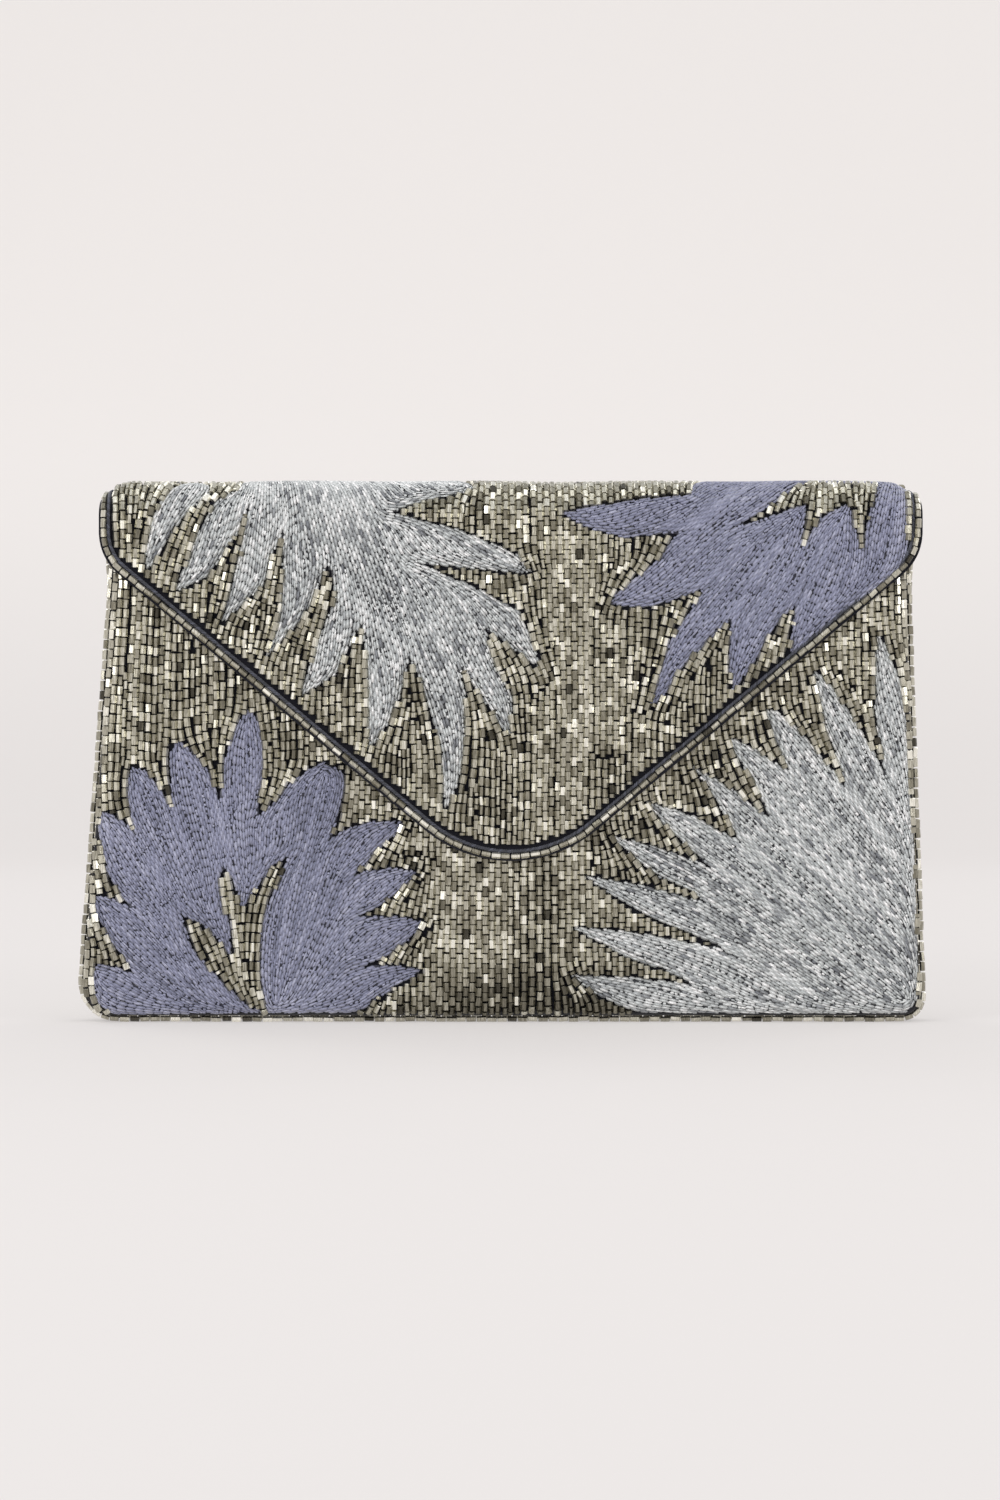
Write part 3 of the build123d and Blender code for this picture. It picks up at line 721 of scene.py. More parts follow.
def cut_rows(rows, shortest):
    """Cuts rows at every whole pitch: middles, half lengths as vectors, and row numbers."""
    middles, halves, numbers = [], [], []
    for number, (path, places) in enumerate(rows):
        cuts = np.arange(math.ceil(places[0]), math.floor(places[-1]) + 1)
        cuts = np.concatenate([[places[0]], cuts, [places[-1]]])
        cuts = cuts[np.concatenate([[True], np.diff(cuts) > 1e-6])]
        for low, high in zip(cuts[:-1], cuts[1:]):
            if high - low < shortest:
                continue
            a = np.array([np.interp(low, places, path[:, k]) for k in (0, 1)])
            b = np.array([np.interp(high, places, path[:, k]) for k in (0, 1)])
            middles.append((a + b) / 2)
            halves.append((b - a) / 2)
            numbers.append(number)
    return np.array(middles), np.array(halves), np.array(numbers)


# One small shape sewn on at every point: a tube with more or fewer sides, with its ends drawn in
# or sunk. Beads, stitches and the twists of the cord all use it.
sewn = bpy.data.node_groups.new("sewn_pieces", "GeometryNodeTree")
sewn.interface.new_socket("Geometry", in_out="INPUT", socket_type="NodeSocketGeometry")
for name, kind in (("Sides", "Int"), ("End Width", "Float"), ("Shoulder", "Float"), ("Arch", "Float"),
                   ("Smooth", "Bool"), ("Material", "Material")):
    sewn.interface.new_socket(name, in_out="INPUT", socket_type="NodeSocket" + kind)
sewn.interface.new_socket("Geometry", in_out="OUTPUT", socket_type="NodeSocketGeometry")
given = put(sewn, "NodeGroupInput").outputs
line = put(sewn, "GeometryNodeCurvePrimitiveLine", inputs={"Start": (-0.5, 0, 0), "End": (0.5, 0, 0)})
dots = put(sewn, "GeometryNodeResampleCurve", inputs={"Curve": line.outputs[0], "Count": 4})
number = put(sewn, "GeometryNodeInputIndex")
off_middle = put(sewn, "ShaderNodeMath", {"operation": "SUBTRACT"}, {0: number.outputs[0], 1: 1.5})
far = put(sewn, "ShaderNodeMath", {"operation": "ABSOLUTE"}, {0: off_middle.outputs[0]})
inner = put(sewn, "ShaderNodeMath", {"operation": "LESS_THAN"}, {0: far.outputs[0], 1: 1.0})
towards = put(sewn, "ShaderNodeMath", {"operation": "SIGN"}, {0: off_middle.outputs[0]})
tuck = put(sewn, "ShaderNodeMath", {"operation": "MULTIPLY"}, {0: inner.outputs[0], 1: given["Shoulder"]})
out = put(sewn, "ShaderNodeMath", {"operation": "SUBTRACT"}, {0: 0.5, 1: tuck.outputs[0]})
along = put(sewn, "ShaderNodeMath", {"operation": "MULTIPLY"}, {0: towards.outputs[0], 1: out.outputs[0]})
lift = put(sewn, "ShaderNodeMath", {"operation": "MULTIPLY"}, {0: inner.outputs[0], 1: given["Arch"]})
spot = put(sewn, "ShaderNodeCombineXYZ", inputs={"X": along.outputs[0], "Z": lift.outputs[0]})
bent = put(sewn, "GeometryNodeSetPosition", inputs={"Geometry": dots.outputs[0], "Position": spot.outputs[0]})
width = put(sewn, "ShaderNodeMix", {"data_type": "FLOAT"},
            {0: inner.outputs[0], 2: given["End Width"], 3: 1.0})
round_line = put(sewn, "GeometryNodeSetCurveRadius",
                 inputs={"Curve": bent.outputs[0], "Radius": width.outputs[0]})
ring = put(sewn, "GeometryNodeCurvePrimitiveCircle", inputs={"Resolution": given["Sides"], "Radius": 0.5})
tube = put(sewn, "GeometryNodeCurveToMesh", inputs={
    "Curve": round_line.outputs[0], "Profile Curve": ring.outputs[0], "Fill Caps": True})
if "Scale" in tube.inputs:
    sewn.links.new(width.outputs[0], tube.inputs["Scale"])
shaded = put(sewn, "GeometryNodeSetShadeSmooth",
             inputs={"Geometry": tube.outputs[0], "Shade Smooth": given["Smooth"]})
named = {}
for name in ("along", "facing", "stretch"):
    named[name] = put(sewn, "GeometryNodeInputNamedAttribute", {"data_type": "FLOAT_VECTOR"}, {"Name": name})
turned = put(sewn, "FunctionNodeAxesToRotation", {"primary_axis": "X", "secondary_axis": "Z"}, {
    0: named["along"].outputs[0], 1: named["facing"].outputs[0]})
spread = put(sewn, "GeometryNodeInstanceOnPoints", inputs={
    "Points": given["Geometry"], "Instance": shaded.outputs[0], "Rotation": turned.outputs[0],
    "Scale": named["stretch"].outputs[0]})
solid = put(sewn, "GeometryNodeRealizeInstances", inputs={"Geometry": spread.outputs[0]})
finished = put(sewn, "GeometryNodeSetMaterial",
               inputs={"Geometry": solid.outputs[0], "Material": given["Material"]})
put(sewn, "NodeGroupOutput", inputs={"Geometry": finished.outputs[0]})


def sew(name, place, middles, halves, height, width, thick, tone, roll, look, material):
    """Sews one shape at every middle, height above the cloth: width across and thick in metres,
    each rolled about its own length by an angle."""
    low = place(middles[:, 0] - halves[:, 0], middles[:, 1] - halves[:, 1], height)
    high = place(middles[:, 0] + halves[:, 0], middles[:, 1] + halves[:, 1], height)
    seat = place(middles[:, 0], middles[:, 1], height)
    over = place(middles[:, 0], middles[:, 1], height + 0.5)
    along = high - low
    length = np.linalg.norm(along, axis=1)
    facing = (over - seat) / np.linalg.norm(over - seat, axis=1)[:, None]
    side = np.cross(facing, along / length[:, None])
    facing = facing * np.cos(roll)[:, None] + side * np.sin(roll)[:, None]
    mesh = bpy.data.meshes.new(name)
    mesh.vertices.add(len(seat))
    mesh.vertices.foreach_set("co", ((low + high) / 4 + seat / 2).ravel())
    for label, kind, values in (
            ("along", "FLOAT_VECTOR", along),
            ("facing", "FLOAT_VECTOR", facing),
            ("stretch", "FLOAT_VECTOR", np.stack([length, width + 0 * length, thick + 0 * length], -1)),
            ("tone", "FLOAT", tone)):
        attribute = mesh.attributes.new(label, kind, "POINT")
        attribute.data.foreach_set("vector" if kind == "FLOAT_VECTOR" else "value", values.ravel())
    holder = bpy.data.objects.new(name + "_layout", mesh)
    bpy.context.scene.collection.objects.link(holder)
    modifier = holder.modifiers.new("sewn", "NODES")
    modifier.node_group = sewn
    sockets = {item.name: item.identifier for item in sewn.interface.items_tree if item.in_out == "INPUT"}
    for label, value in (*look.items(), ("Material", material)):
        modifier[sockets[label]] = value
    done = bpy.data.meshes.new_from_object(holder.evaluated_get(bpy.context.evaluated_depsgraph_get()))
    for label in ("along", "facing", "stretch"):
        spent = done.attributes.get(label)
        if spent:
            done.attributes.remove(spent)
    bpy.data.objects.remove(holder)
    done.name = name
    piece = bpy.data.objects.new(name, done)
    bpy.context.scene.collection.objects.link(piece)
    return piece


# ---- Field beads ----
# Glass tube beads cut with six sides and lined with pale gold metal, about 2 mm thick and 3 mm
# long, sewn one by one in brick-like rows. Rows stand upright and bend along the leaves.
BEAD_PITCH = 3.15
ROW_SPACING = 2.12
NARROWEST_BEAD = 1.45
WIDEST_BEAD = 2.5
BEAD_LOOK = {"Sides": 6, "End Width": 0.84, "Shoulder": 0.05, "Arch": 0.0, "Smooth": False}

lined_glass, tree, shader = start_material(
    "metal_lined_glass", {"Metallic": 0.92, "Coat Weight": 0.35, "Coat Roughness": 0.12})
where = put(tree, "ShaderNodeTexCoord")
own = put(tree, "ShaderNodeAttribute", {"attribute_name": "tone"})
# streaks along the tubes, 0.3 mm apart: in the colour they are painted highlights, light and dark bands along
# each bead; they also vary its roughness and bump
stretch = put(tree, "ShaderNodeMapping", inputs={"Vector": where.outputs["Object"], "Scale": (1, 1, 0.12)})
highlight_streak = put(tree, "ShaderNodeTexNoise",
             inputs={"Vector": stretch.outputs[0], "Scale": 3200.0, "Detail": 2.0})
mixed = put(tree, "ShaderNodeMath", {"operation": "MULTIPLY_ADD"},
            {0: highlight_streak.outputs["Fac"], 1: 0.5, 2: own.outputs["Fac"]})
# painted highlight: the ramp turns the streaks into bands from near black to near white
ramp = put(tree, "ShaderNodeValToRGB", inputs={"Fac": mixed.outputs[0]})
ramp.color_ramp.elements[0].color = colour("#0d0c0a")
ramp.color_ramp.elements[1].color = colour("#fbf9ee")
for stop, code in ((0.3, "#4a473d"), (0.6, "#888475"), (0.85, "#c9c6b7")):
    ramp.color_ramp.elements.new(stop).color = colour(code)
tree.links.new(ramp.outputs[0], shader.inputs["Base Color"])
rough = put(tree, "ShaderNodeMapRange",
            inputs={"Value": highlight_streak.outputs["Fac"], "To Min": 0.16, "To Max": 0.4})
tree.links.new(rough.outputs[0], shader.inputs["Roughness"])
bump = put(tree, "ShaderNodeBump",
           inputs={"Height": highlight_streak.outputs["Fac"], "Strength": 0.35, "Distance": 0.12 * MM})
tree.links.new(bump.outputs[0], shader.inputs["Normal"])


def settle(middles, halves, pitch, narrowest, widest):
    """How wide each piece may be to meet its neighbours, and its middle moved half way between them."""
    ahead = halves / np.hypot(halves[:, 0], halves[:, 1])[:, None]
    side = np.stack([-ahead[:, 1], ahead[:, 0]], -1)
    room = np.full((len(middles), 2), widest)
    for start in range(0, len(middles), 500):
        part = slice(start, start + 500)
        apart = middles[None] - middles[part, None]
        level = np.abs(np.einsum("ijk,ik->ij", apart, ahead[part])) < pitch * 0.45
        across = np.einsum("ijk,ik->ij", apart, side[part])
        for k, sign in ((0, 1), (1, -1)):
            gaps = np.where(level & (sign * across > narrowest / 3), sign * across, 99.0)
            room[part, k] = np.minimum(gaps.min(1), widest)
    shift = np.clip((room[:, 0] - room[:, 1]) / 4, -narrowest / 5, narrowest / 5)
    return np.clip(room.mean(1), narrowest, widest), middles + side * shift[:, None]


def bead_tones(chance, middles, shadow):
    """Most beads alike, a few near black, some bright, and darker where a shadow patch says."""
    count = len(middles)
    tone = np.clip(0.5 + 0.11 * chance.standard_normal(count), 0.2, 0.75)
    tone = np.where(chance.random(count) < 0.015, 0.02, tone)
    tone = np.where(chance.random(count) < 0.03, 0.75, tone)
    return tone * shadow


def sew_beads(name, place, middles, halves, seed, shadow=1.0, width=BEAD):
    """Beads with a little wobble in their place, turn and length."""
    chance = np.random.default_rng(seed)
    count = len(middles)
    wide = np.full(count, width)
    if width == BEAD:
        wide, middles = settle(middles, halves, BEAD_PITCH, NARROWEST_BEAD, WIDEST_BEAD)
    middles = middles + 0.08 * chance.standard_normal((count, 2))
    turn = 0.035 * chance.standard_normal(count)
    half = np.hypot(halves[:, 0], halves[:, 1])
    short = 1 - (0.07 + 0.04 * np.abs(chance.standard_normal(count))) * np.clip(1.5 / half, 0, 1.3)
    halves = np.stack([halves[:, 0] - halves[:, 1] * turn, halves[:, 1] + halves[:, 0] * turn], -1)
    halves = halves * short[:, None]
    wide = wide * MM * (0.95 + 0.04 * chance.standard_normal(count))
    height = width / 2 * 0.87 + 0.1 * chance.random(count)
    tone = bead_tones(chance, middles, shadow)
    thick = width * MM * (0.96 + 0.03 * chance.standard_normal(count))
    roll = 0.13 * chance.standard_normal(count)
    return sew(name, place, middles, halves, height, wide, thick, tone, roll, BEAD_LOOK, lined_glass)


wave = np.random.default_rng(11)
FIELD_CELL = 0.25
ROW_END_GAP = 0.3           # from the top of the fold to the ends of the rows on either side
PANEL_FIELD_INSET = 1.9
SHORTEST_BEAD = 0.3         # of a pitch


def off_leaves(leaves):
    """Where beads may lie: cells outside the leaves by a hair."""
    return blur(leaves.astype(float), 0.5 / FIELD_CELL) < 0.45


def flow_of(ground, outlines):
    """Upright rows with a slow waver, that bend to run along the leaves' edges."""
    waver = blur(wave.standard_normal(ground.shape), 14 / ground.cell)
    calm = math.pi / 2 + 0.05 * waver / max(waver.std(), 1e-9)
    return ground.lean(outlines, 3.2, calm, 0.2, steep=True)


front = Ground(-146, 146, -4, 170, FIELD_CELL)
front_leaves = [FRONT_SILVER, FRONT_LAVENDER]
silver = within(FRONT_SILVER, front.x, front.s)
lavender = within(FRONT_LAVENDER, front.x, front.s) & ~within(FRONT_BEAD_WEDGES, front.x, front.s)
inset = edge_of(front.x, front.s, False)[0]
free = (inset > PANEL_FIELD_INSET) & (front.s < MOUTH_HEIGHT - 1.2) & off_leaves(silver | lavender)
rows = lay_rows(front, free, flow_of(front, front_leaves + [FRONT_BEAD_WEDGES]),
                ROW_SPACING, BEAD_PITCH, [(3, 120), (5, 40)], 21)
middles, halves, _ = cut_rows(rows, SHORTEST_BEAD)
# painted shade: the beads low in the middle, between the two leaves, are darkened
patch = np.exp(-((middles[:, 0] - 12) / 36) ** 4) * smooth_step((26 - middles[:, 1]) / 18)
painted_shade = 1 - 0.62 * patch
painted_shade = np.where(np.random.default_rng(5).random(len(painted_shade)) < 0.25, 1.0, painted_shade)
left_half = middles[:, 0] < LEAN
for name, part, seed in (("front_field_beads_left", left_half, 31),
                         ("front_field_beads_right", ~left_half, 32)):
    piece = sew_beads(name, on_front, middles[part], halves[part], seed, painted_shade[part])
    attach(piece, "case")
    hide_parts("front_beading")

flap = Ground(-142, 148, 40, 216, FIELD_CELL)
flap_leaves = [FLAP_SILVER, FLAP_SILVER_LEAFLET, FLAP_LAVENDER]
flap_silver = within(FLAP_SILVER, flap.x, flap.s) | within(FLAP_SILVER_LEAFLET, flap.x, flap.s)
flap_lavender = within(FLAP_LAVENDER, flap.x, flap.s) & ~within(FLAP_BEAD_PATCH, flap.x, flap.s)
FIELD_INSET = 4.5
PAST_THE_FOLD = 400
field_edge = [tuple(p) for p in flap_edge(FIELD_INSET)[::4]]
field_edge += [(LEAN + sign * (FLAP_HALF - FIELD_INSET), PAST_THE_FOLD) for sign in (1, -1)]
flap_flow = flow_of(flap, flap_leaves + [FLAP_BEAD_PATCH])
free = within(field_edge, flap.x, flap.s) & off_leaves(flap_silver | flap_lavender)
free &= flap.s < RUN_TOP - ROW_END_GAP
rows = lay_rows(flap, free, flap_flow, ROW_SPACING, BEAD_PITCH, [(26, 120), (-100, 165)], 22)
middles, halves, _ = cut_rows(rows, SHORTEST_BEAD)
piece = sew_beads("flap_field_beads", on_wrap, middles, halves, 33)
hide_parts("flap_beading", "fold_beading")
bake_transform(piece)

back = Ground(-146, 150, RUN_TOP - 1, RUN_BACK + FOLD_Z + 4, FIELD_CELL)
inset = edge_of(back.x, FOLD_Z - (back.s - RUN_BACK), True)[0]
free = (inset > PANEL_FIELD_INSET) | (back.s < RUN_BACK)
free &= (np.abs(back.x - LEAN) < FLAP_HALF - FIELD_INSET) | (back.s > RUN_BACK + 4)
leaves = np.zeros(back.shape, bool)
for outline in flap_leaves:
    leaves |= within(outline, back.x, back.s)
free &= off_leaves(leaves) & (back.s > RUN_TOP + ROW_END_GAP)
rows = lay_rows(back, free, flow_of(back, flap_leaves), ROW_SPACING, BEAD_PITCH, [(3, 260)], 23)
middles, halves, _ = cut_rows(rows, SHORTEST_BEAD)
left_half = middles[:, 0] < LEAN
for name, part, seed in (("back_field_beads_left", left_half, 34),
                         ("back_field_beads_right", ~left_half, 35)):
    piece = sew_beads(name, on_wrap, middles[part], halves[part], seed)
    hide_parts("back_beading")
    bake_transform(piece)

# ---- Edge beads and trim cord ----
# One row of slimmer beads of the same glass, sewn end to end along every edge. On the flap a
# twisted navy thread cord lies between that row and the field beads, and the hem shows outside.
EDGE_PITCH = 3.35
CASE_ROW_WIDTH = 1.9
CASE_ROW_OFF = 5.7          # from the seam's plane to the middle of the row
FLAP_ROW_WIDTH = 1.95
FLAP_ROW_INSET = 1.65
CORD_INSET = 3.2
CORD_STRAND = 0.62
CORD_PITCH = 0.8


def panel_path(flared, top, inset):
    """A panel's outline pulled in by an inset, from its top left round the bottom to its top right."""
    path = []
    for sign, corner in ((-1, CORNERS[0]), (1, CORNERS[1])):
        side = []
        for z in np.linspace(top, corner * 1.1, 60):
            side.append((LEAN * min(z / MOUTH_HEIGHT, 1) + sign * half_width(z, flared), z))
        foot = [side[-1]]
        round_corner(foot, (sign * CASE_WIDTH / 2, 0), (0, 0), corner, 8)
        side += foot[1:]
        path += side if sign < 0 else side[::-1]
    return pull_in(path, inset)


def seam_row(sign):
    """Places of the row beside the seam: sign is -1 in front and 1 behind."""
    def place(x, z, h):
        return np.stack([x, SEAM_Y + sign * (CASE_ROW_OFF - CASE_ROW_WIDTH / 2 + h) + 0 * x, z], -1) * MM
    return place


EDGE_STEP = 0.5             # between the points of an outline pulled in by pull_in
for name, sign, node, seed in (("front_edge_bead_row", -1, "front_edge_beads", 41),
                               ("back_edge_bead_row", 1, "back_edge_beads", 42)):
    path = panel_path(sign > 0, FOLD_Z - (1.5 if sign > 0 else 0), CASE_ROW_WIDTH / 2)
    middles, halves, _ = cut_rows([(path, np.arange(len(path)) * EDGE_STEP / EDGE_PITCH)], 0.4)
    shade = np.where(np.random.default_rng(seed).random(len(middles)) < 0.08, 0.1, 1.0)
    piece = sew_beads(name, seam_row(sign), middles, halves, seed, shade, CASE_ROW_WIDTH)
    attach(piece, "case")
    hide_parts(node)

path = flap_edge(FLAP_ROW_INSET)
middles, halves, _ = cut_rows([(path, np.arange(len(path)) * EDGE_STEP / EDGE_PITCH)], 0.4)
cord_path = flap_edge(CORD_INSET)
twists = [(cord_path, np.arange(len(cord_path)) * EDGE_STEP / CORD_PITCH)]
twist_middles, twist_halves, _ = cut_rows(twists, 0.4)
along = twist_halves / np.hypot(twist_halves[:, 0], twist_halves[:, 1])[:, None]
lay = math.radians(38)      # how far each strand turns across the cord
twist_halves = 0.8 * np.stack([along[:, 0] * math.cos(lay) - along[:, 1] * math.sin(lay),
                                along[:, 1] * math.cos(lay) + along[:, 0] * math.sin(lay)], -1)

# Polyester thread cord, dyed navy and tightly twisted: dark with a dull shine. The grey-blue of its lighter
# strands is partly lighter thread, partly painted highlight
cord_thread, tree, shader = start_material("twisted_navy_thread", {"Roughness": 0.5, "Sheen Weight": 0.3})
where = put(tree, "ShaderNodeTexCoord")
fibre = put(tree, "ShaderNodeTexNoise", inputs={"Vector": where.outputs["Object"], "Scale": 2500.0})
own = put(tree, "ShaderNodeAttribute", {"attribute_name": "tone"})
depth = put(tree, "ShaderNodeMath", {"operation": "MULTIPLY"},
            {0: fibre.outputs["Fac"], 1: own.outputs["Fac"]})
# partly painted highlight: the colour rises from near-black navy to grey-blue with the strands' tone and the
# fibres
tint = put(tree, "ShaderNodeMix", {"data_type": "RGBA"},
           {0: depth.outputs[0], 6: colour("#08090e"), 7: colour("#6d7184")})
tree.links.new(tint.outputs[2], shader.inputs["Base Color"])
bump = put(tree, "ShaderNodeBump",
           inputs={"Height": fibre.outputs["Fac"], "Strength": 0.5, "Distance": 0.1 * MM})
tree.links.new(bump.outputs[0], shader.inputs["Normal"])
TWIST_LOOK = {"Sides": 6, "End Width": 0.35, "Shoulder": 0.28, "Arch": 0.45, "Smooth": True}

for name, front_side in (("flap", True), ("fold_back", False)):
    part = (middles[:, 1] < RUN_TOP) == front_side
    beads = sew_beads(name + "_edge_bead_row", on_wrap, middles[part], halves[part], 43, 1.0, FLAP_ROW_WIDTH)
    part = (twist_middles[:, 1] < RUN_TOP) == front_side
    tone = 0.35 + 0.75 * np.random.default_rng(44).random(part.sum()) ** 2
    cord = sew(name + "_trim_cord", on_wrap, twist_middles[part], twist_halves[part], 0.35,
               CORD_STRAND * MM, CORD_STRAND * MM, tone, 0 * tone, TWIST_LOOK, cord_thread)
    for piece in (beads, cord):
        if front_side:
            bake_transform(piece)
        else:
            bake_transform(piece)
    if front_side:
        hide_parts("flap_edge_beads")
        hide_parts("flap_cord")

# ---- Embroidered leaves ----
# Solid machine embroidery in long stitches, laid in rows along each lobe over a thin padding,
# in silver metallic thread and in lavender rayon. The needle holes show as small dark dots.
STITCH_PITCH = 3.0
STITCH_SPACING = 0.8
STITCH_LOOK = {"Sides": 4, "End Width": 0.25, "Shoulder": 0.13, "Arch": 0.35, "Smooth": True}

# thread colours: gap, dark, middle, bright; then metallic and roughness
THREADS = {
    "silver_metallic_thread": ("#15161b", "#7c7f85", "#d4d8d8", "#ffffff", 0.25, 0.36),
    "lavender_rayon_floss": ("#1a1b2b", "#64677c", "#9295ae", "#b9bbd0", 0.0, 0.45),
}
thread_materials = {}
for name, (gap, dark, middle, bright, metallic, roughness) in THREADS.items():
    material, tree, shader = start_material(name, {
        "Metallic": metallic, "Roughness": roughness, "Sheen Weight": 0.25, "Sheen Roughness": 0.4})
    where = put(tree, "ShaderNodeTexCoord")
    own = put(tree, "ShaderNodeAttribute", {"attribute_name": "tone"})
    # the fibres' twist, 0.25 mm apart
    twist = put(tree, "ShaderNodeTexNoise", inputs={"Vector": where.outputs["Object"], "Scale": 4000.0})
    mixed = put(tree, "ShaderNodeMath", {"operation": "MULTIPLY_ADD"},
                {0: twist.outputs["Fac"], 1: 0.35, 2: own.outputs["Fac"]})
    ramp = put(tree, "ShaderNodeValToRGB", inputs={"Fac": mixed.outputs[0]})
    ramp.color_ramp.elements[0].color = colour(gap)
    ramp.color_ramp.elements[1].color = colour(bright)
    ramp.color_ramp.elements.new(0.3).color = colour(dark)
    ramp.color_ramp.elements.new(0.66).color = colour(middle)
    tree.links.new(ramp.outputs[0], shader.inputs["Base Color"])
    bump = put(tree, "ShaderNodeBump",
               inputs={"Height": twist.outputs["Fac"], "Strength": 0.4, "Distance": 0.08 * MM})
    tree.links.new(bump.outputs[0], shader.inputs["Normal"])
    thread_materials[name] = material


def embroider(name, place, shape, holes, root, thread, limits, spread, seed):
    """A leaf's stitches and the padding under them: returns both pieces."""
    chance = np.random.default_rng(seed)
    spots = np.array([p for outline in shape for p in outline])
    ground = Ground(spots[:, 0].min() - 4, spots[:, 0].max() + 4, max(spots[:, 1].min(), limits[0]) - 4,
                    min(spots[:, 1].max(), limits[1]) + 4, 0.16)
    body = np.zeros(ground.shape, bool)
    for outline in shape:
        body |= within(outline, ground.x, ground.s)
    for outline in holes:
        body &= ~within(outline, ground.x, ground.s)
    soft = blur(body.astype(float), 2.2 / ground.cell)
    low, high = limits
    free = body & (ground.s > low) & (ground.s < high)
    toward_root = np.arctan2(root[1] - ground.s + 0 * ground.x, root[0] - ground.x + 0 * ground.s)
    flow = ground.lean(shape + holes, 2.6, toward_root, 0.14)
    rows = lay_rows(ground, free, flow, STITCH_SPACING, STITCH_PITCH, [tuple(spots.mean(0))], seed)
    middles, halves, numbers = cut_rows(rows, 0.2)

    def dome(x, s):
        return 0.1 + 1.0 * np.clip(2 * ground.read(soft, x, s) - 0.75, 0, 1)

    # each stitch's tone differs at random; on the silver thread the wider spread is painted highlight and
    # shade, glints and dark stitches
    tone = 0.5 + spread * chance.standard_normal(len(middles)) + 0.05 * chance.standard_normal(
        len(rows))[numbers]
    cloud = blur(chance.standard_normal(ground.shape), 7 / ground.cell)
    tone = tone + 0.07 * ground.read(cloud, middles[:, 0], middles[:, 1]) / max(cloud.std(), 1e-9)
    wide, middles = settle(middles, halves, STITCH_PITCH, 0.7 * STITCH_SPACING, 1.5 * STITCH_SPACING)
    halves = halves * (0.85 + 0.02 * chance.standard_normal(len(halves)))[:, None]
    wide = wide * MM * (1.14 + 0.05 * chance.standard_normal(len(middles)))
    roll = 0.25 * chance.standard_normal(len(middles))
    seat = dome(middles[:, 0], middles[:, 1])
    stitches = sew(name, place, middles, halves, seat, wide, STITCH_SPACING * MM * 0.8 + 0 * wide,
                   np.clip(tone, 0.12, 0.95), roll, STITCH_LOOK, thread_materials[thread])
    step = 6
    grid_x, grid_s = np.broadcast_arrays(ground.x[:, ::step], ground.s[::step])
    inside = (body | (soft > 0.3))[::step, ::step] & (grid_s > low - 0.5) & (grid_s < high + 0.5)
    depth = dome(grid_x, grid_s) - 0.32
    depth = np.where(body[::step, ::step], depth, -0.3)
    points = place(grid_x.ravel(), np.clip(grid_s.ravel(), low, high), depth.ravel())
    index = np.arange(grid_x.size).reshape(grid_x.shape)
    quads = np.stack([index[:-1, :-1], index[:-1, 1:], index[1:, 1:], index[1:, :-1]], -1)
    keep = inside[:-1, :-1] & inside[:-1, 1:] & inside[1:, 1:] & inside[1:, :-1]
    quads = quads[keep]
    used, quads = np.unique(quads, return_inverse=True)
    padding = plain_mesh(name + "_padding", points[used], quads.reshape(-1, 4), thread_materials[thread])
    tones = padding.data.attributes.new("tone", "FLOAT", "POINT")
    tones.data.foreach_set("value", np.full(len(used), -0.1))
    return stitches, padding


FRONT_PART = (-99.0, RUN_TOP)
BACK_PART = (RUN_TOP, 999.0)
LEAVES = [
    # name, place, outlines, holes, root, thread, runs, tone spread, seed, slot, body, replaced node
    ("front_silver_embroidery", on_front, [FRONT_SILVER], [], (215, -60), "silver_metallic_thread",
     (1.0, MOUTH_HEIGHT), 0.15, 51, "silver_thread", "case", "front_silver_leaf"),
    ("front_lavender_embroidery", on_front, [FRONT_LAVENDER], [FRONT_BEAD_WEDGES], (-78, -12),
     "lavender_rayon_floss", (1.0, MOUTH_HEIGHT), 0.07, 52, "lavender_thread", "case", "front_lavender_leaf"),
    ("flap_silver_embroidery", on_wrap, [FLAP_SILVER, FLAP_SILVER_LEAFLET], [], (-80, 250),
     "silver_metallic_thread", FRONT_PART, 0.15, 53, "silver_thread", "flap", "flap_silver_leaf"),
    ("flap_lavender_embroidery", on_wrap, [FLAP_LAVENDER], [FLAP_BEAD_PATCH], (140, 225),
     "lavender_rayon_floss", FRONT_PART, 0.07, 54, "lavender_thread", "flap", "flap_lavender_leaf"),
    ("fold_silver_embroidery", on_wrap, [FLAP_SILVER, FLAP_SILVER_LEAFLET], [], (-80, 250),
     "silver_metallic_thread", BACK_PART, 0.15, 55, "silver_thread", "fold", None),
    ("fold_lavender_embroidery", on_wrap, [FLAP_LAVENDER], [], (140, 225),
     "lavender_rayon_floss", BACK_PART, 0.07, 56, "lavender_thread", "fold", None),
]
for name, place, shape, holes, root, thread, limits, spread, seed, slot, body, node in LEAVES:
    pieces = embroider(name, place, shape, holes, root, thread, limits, spread, seed)
    for piece in pieces:
        if node:
            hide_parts(node)
        if body == "case":
            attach(piece, "case")
        elif body == "flap":
            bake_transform(piece)
        else:
            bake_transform(piece)

# ---- Gusset, binding, boards and snap ----
# The band between the panels and the strip folded over the front's top edge are the navy
# cotton, and satin lines the band. The magnetic snap is nickel-plated steel.
GUSSET_STEP = 2.0
GUSSET_BOW = 0.3            # the band sinks in this far along its middle
gusset_path = even_path(panel_path(False, MOUTH_HEIGHT, BEAD), GUSSET_STEP)
gusset_ahead = np.gradient(gusset_path, axis=0)
gusset_ahead /= np.hypot(gusset_ahead[:, 0], gusset_ahead[:, 1])[:, None]


def on_gusset(at, off, h):
    """The band between the panels: steps along the outline, distance off the seam's plane, height."""
    depth = GUSSET_BOW * (1 - (off / CAVITY_HALF) ** 2) - h
    steps = np.arange(len(gusset_path))
    along_x, along_z = (np.interp(at, steps, gusset_ahead[:, k]) for k in (0, 1))
    x = np.interp(at, steps, gusset_path[:, 0]) - along_z * depth
    z = np.interp(at, steps, gusset_path[:, 1]) + along_x * depth
    return np.stack([x, SEAM_Y + off, z], -1) * MM


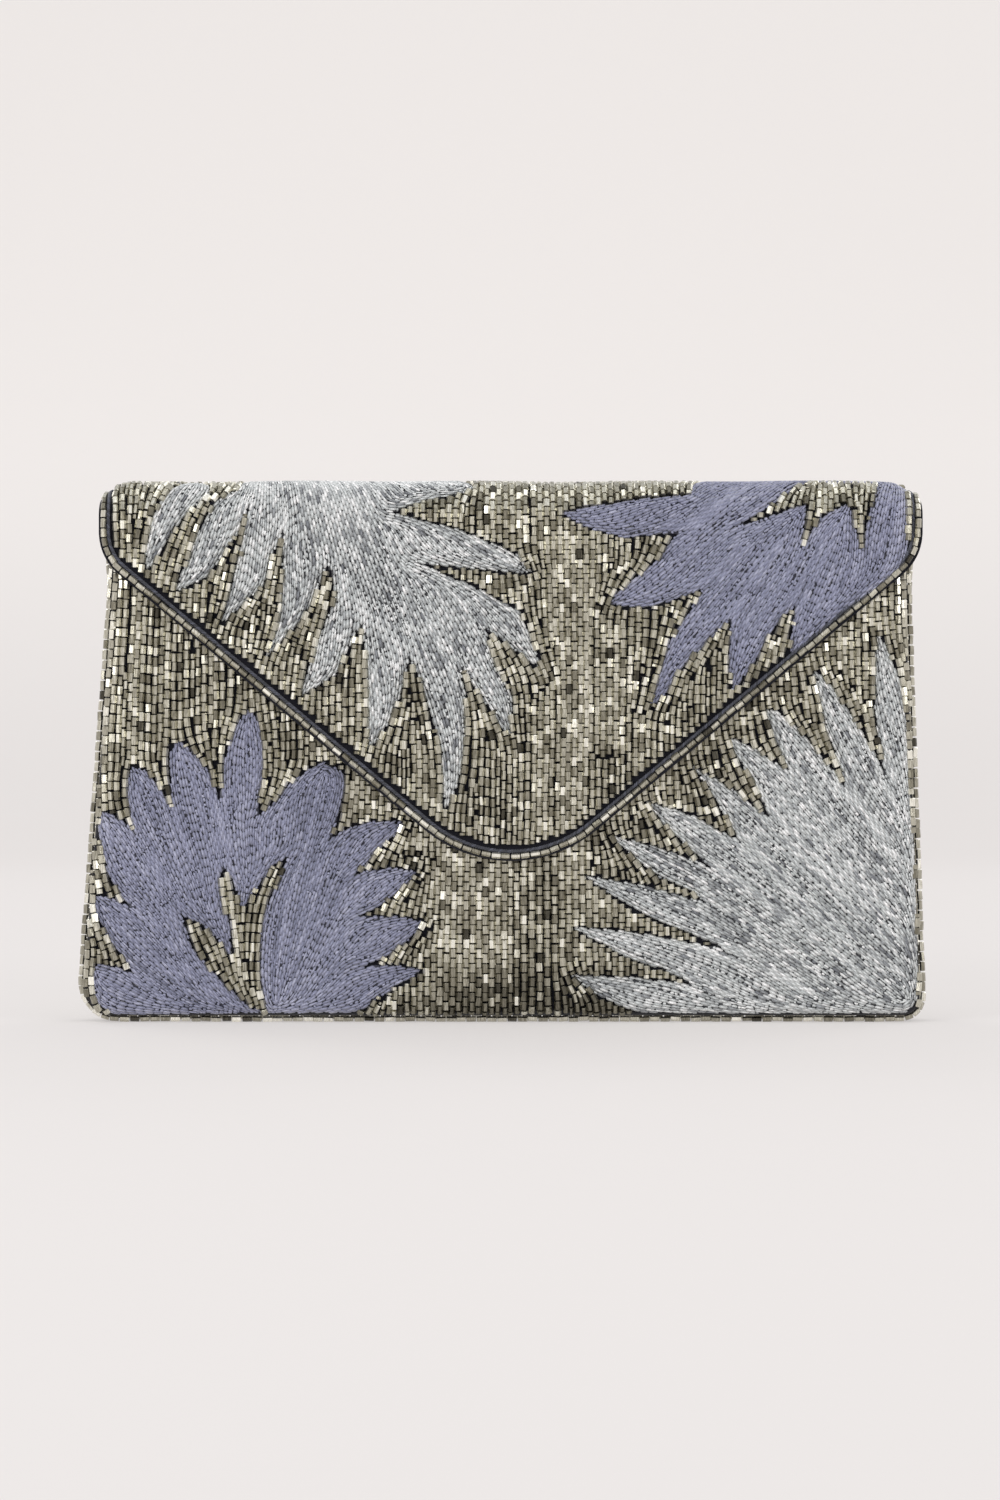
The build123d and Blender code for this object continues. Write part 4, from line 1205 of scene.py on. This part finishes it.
grid_at, grid_off = np.meshgrid(np.arange(len(gusset_path)), np.linspace(CAVITY_HALF, -CAVITY_HALF, 9))
for name, node, outer, finish, slot in (
        ("gusset_cloth_band", "gusset_fabric", 0.0, base_cloth, "base_cloth"),
        ("gusset_satin_band", "gusset_lining", -CLOTH_THICK, satin, "satin_lining")):
    band = cloth_shell(name, grid_at, grid_off, on_gusset, outer, outer - LINING_THICK, finish)
    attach(band, "case")
    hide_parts(node)

BINDING_ROUND = 1.7         # middle of the strip's thickness, over the panel's top edge
BINDING_FOOT = 1.0


def on_binding(x, run, h):
    """The strip over the front's top edge: up in front, over, and down inside."""
    angle = np.clip(run / BINDING_ROUND, 0, math.pi)
    radius = BINDING_ROUND + h
    below = np.minimum(run, 0) - np.maximum(run - math.pi * BINDING_ROUND, 0)
    ripple = 0.06 * np.sin(x / 3.1) * np.sin(x / 7.3 + 1)
    y = SEAM_Y - (PANEL_CLOTH + CAVITY_HALF) / 2 - (radius + ripple) * np.cos(angle)
    return np.stack([x, y, MOUTH_HEIGHT + BINDING_FOOT + below + radius * np.sin(angle)], -1) * MM


binding_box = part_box("mouth_binding")
over = math.pi * BINDING_ROUND
reach = np.concatenate([np.linspace(-BINDING_FOOT, 0, 3), np.linspace(0.3, over - 0.3, 11),
                        over + np.linspace(0, BINDING_FOOT, 3)])
grid_x, grid_run = np.meshgrid(np.linspace(binding_box[0][0], binding_box[1][0], 321) / MM, reach)
binding = cloth_shell("mouth_binding_strip", grid_x, grid_run, on_binding, CLOTH_THICK / 2,
                      -CLOTH_THICK / 2, base_cloth)
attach(binding, "case")
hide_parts("mouth_binding")

# Grey board, pressed from mixed fibres, which give it a faint mottle
grey_board, tree, shader = start_material("pressed_grey_board", {"Roughness": 0.9})
where = put(tree, "ShaderNodeTexCoord")
fibre = put(tree, "ShaderNodeTexNoise",
            inputs={"Vector": where.outputs["Object"], "Scale": 900.0, "Detail": 6.0})
tint = put(tree, "ShaderNodeMix", {"data_type": "RGBA"},
           {0: fibre.outputs["Fac"], 6: colour("#77736b"), 7: colour("#a8a399")})
tree.links.new(tint.outputs[2], shader.inputs["Base Color"])

# Nickel plate over turned steel: a bright warm grey with fine marks and handling wear
nickel, tree, shader = start_material("nickel_plated_steel", {"Metallic": 1.0})
where = put(tree, "ShaderNodeTexCoord")
wear = put(tree, "ShaderNodeTexNoise",
           inputs={"Vector": where.outputs["Object"], "Scale": 700.0, "Detail": 5.0})
tint = put(tree, "ShaderNodeMix", {"data_type": "RGBA"},
           {0: wear.outputs["Fac"], 6: colour("#a9a7a2"), 7: colour("#d6d4cf")})
tree.links.new(tint.outputs[2], shader.inputs["Base Color"])
rough = put(tree, "ShaderNodeMapRange",
            inputs={"Value": wear.outputs["Fac"], "To Min": 0.16, "To Max": 0.38})
tree.links.new(rough.outputs[0], shader.inputs["Roughness"])

FINISHES = {
    "front_board": grey_board, "back_board": grey_board,
    "snap_socket": nickel, "snap_stud": nickel, "snap_socket_plate": nickel, "snap_stud_plate": nickel,
}
for node, finish in FINISHES.items():
    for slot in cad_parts[node].material_slots:
        slot.material = finish
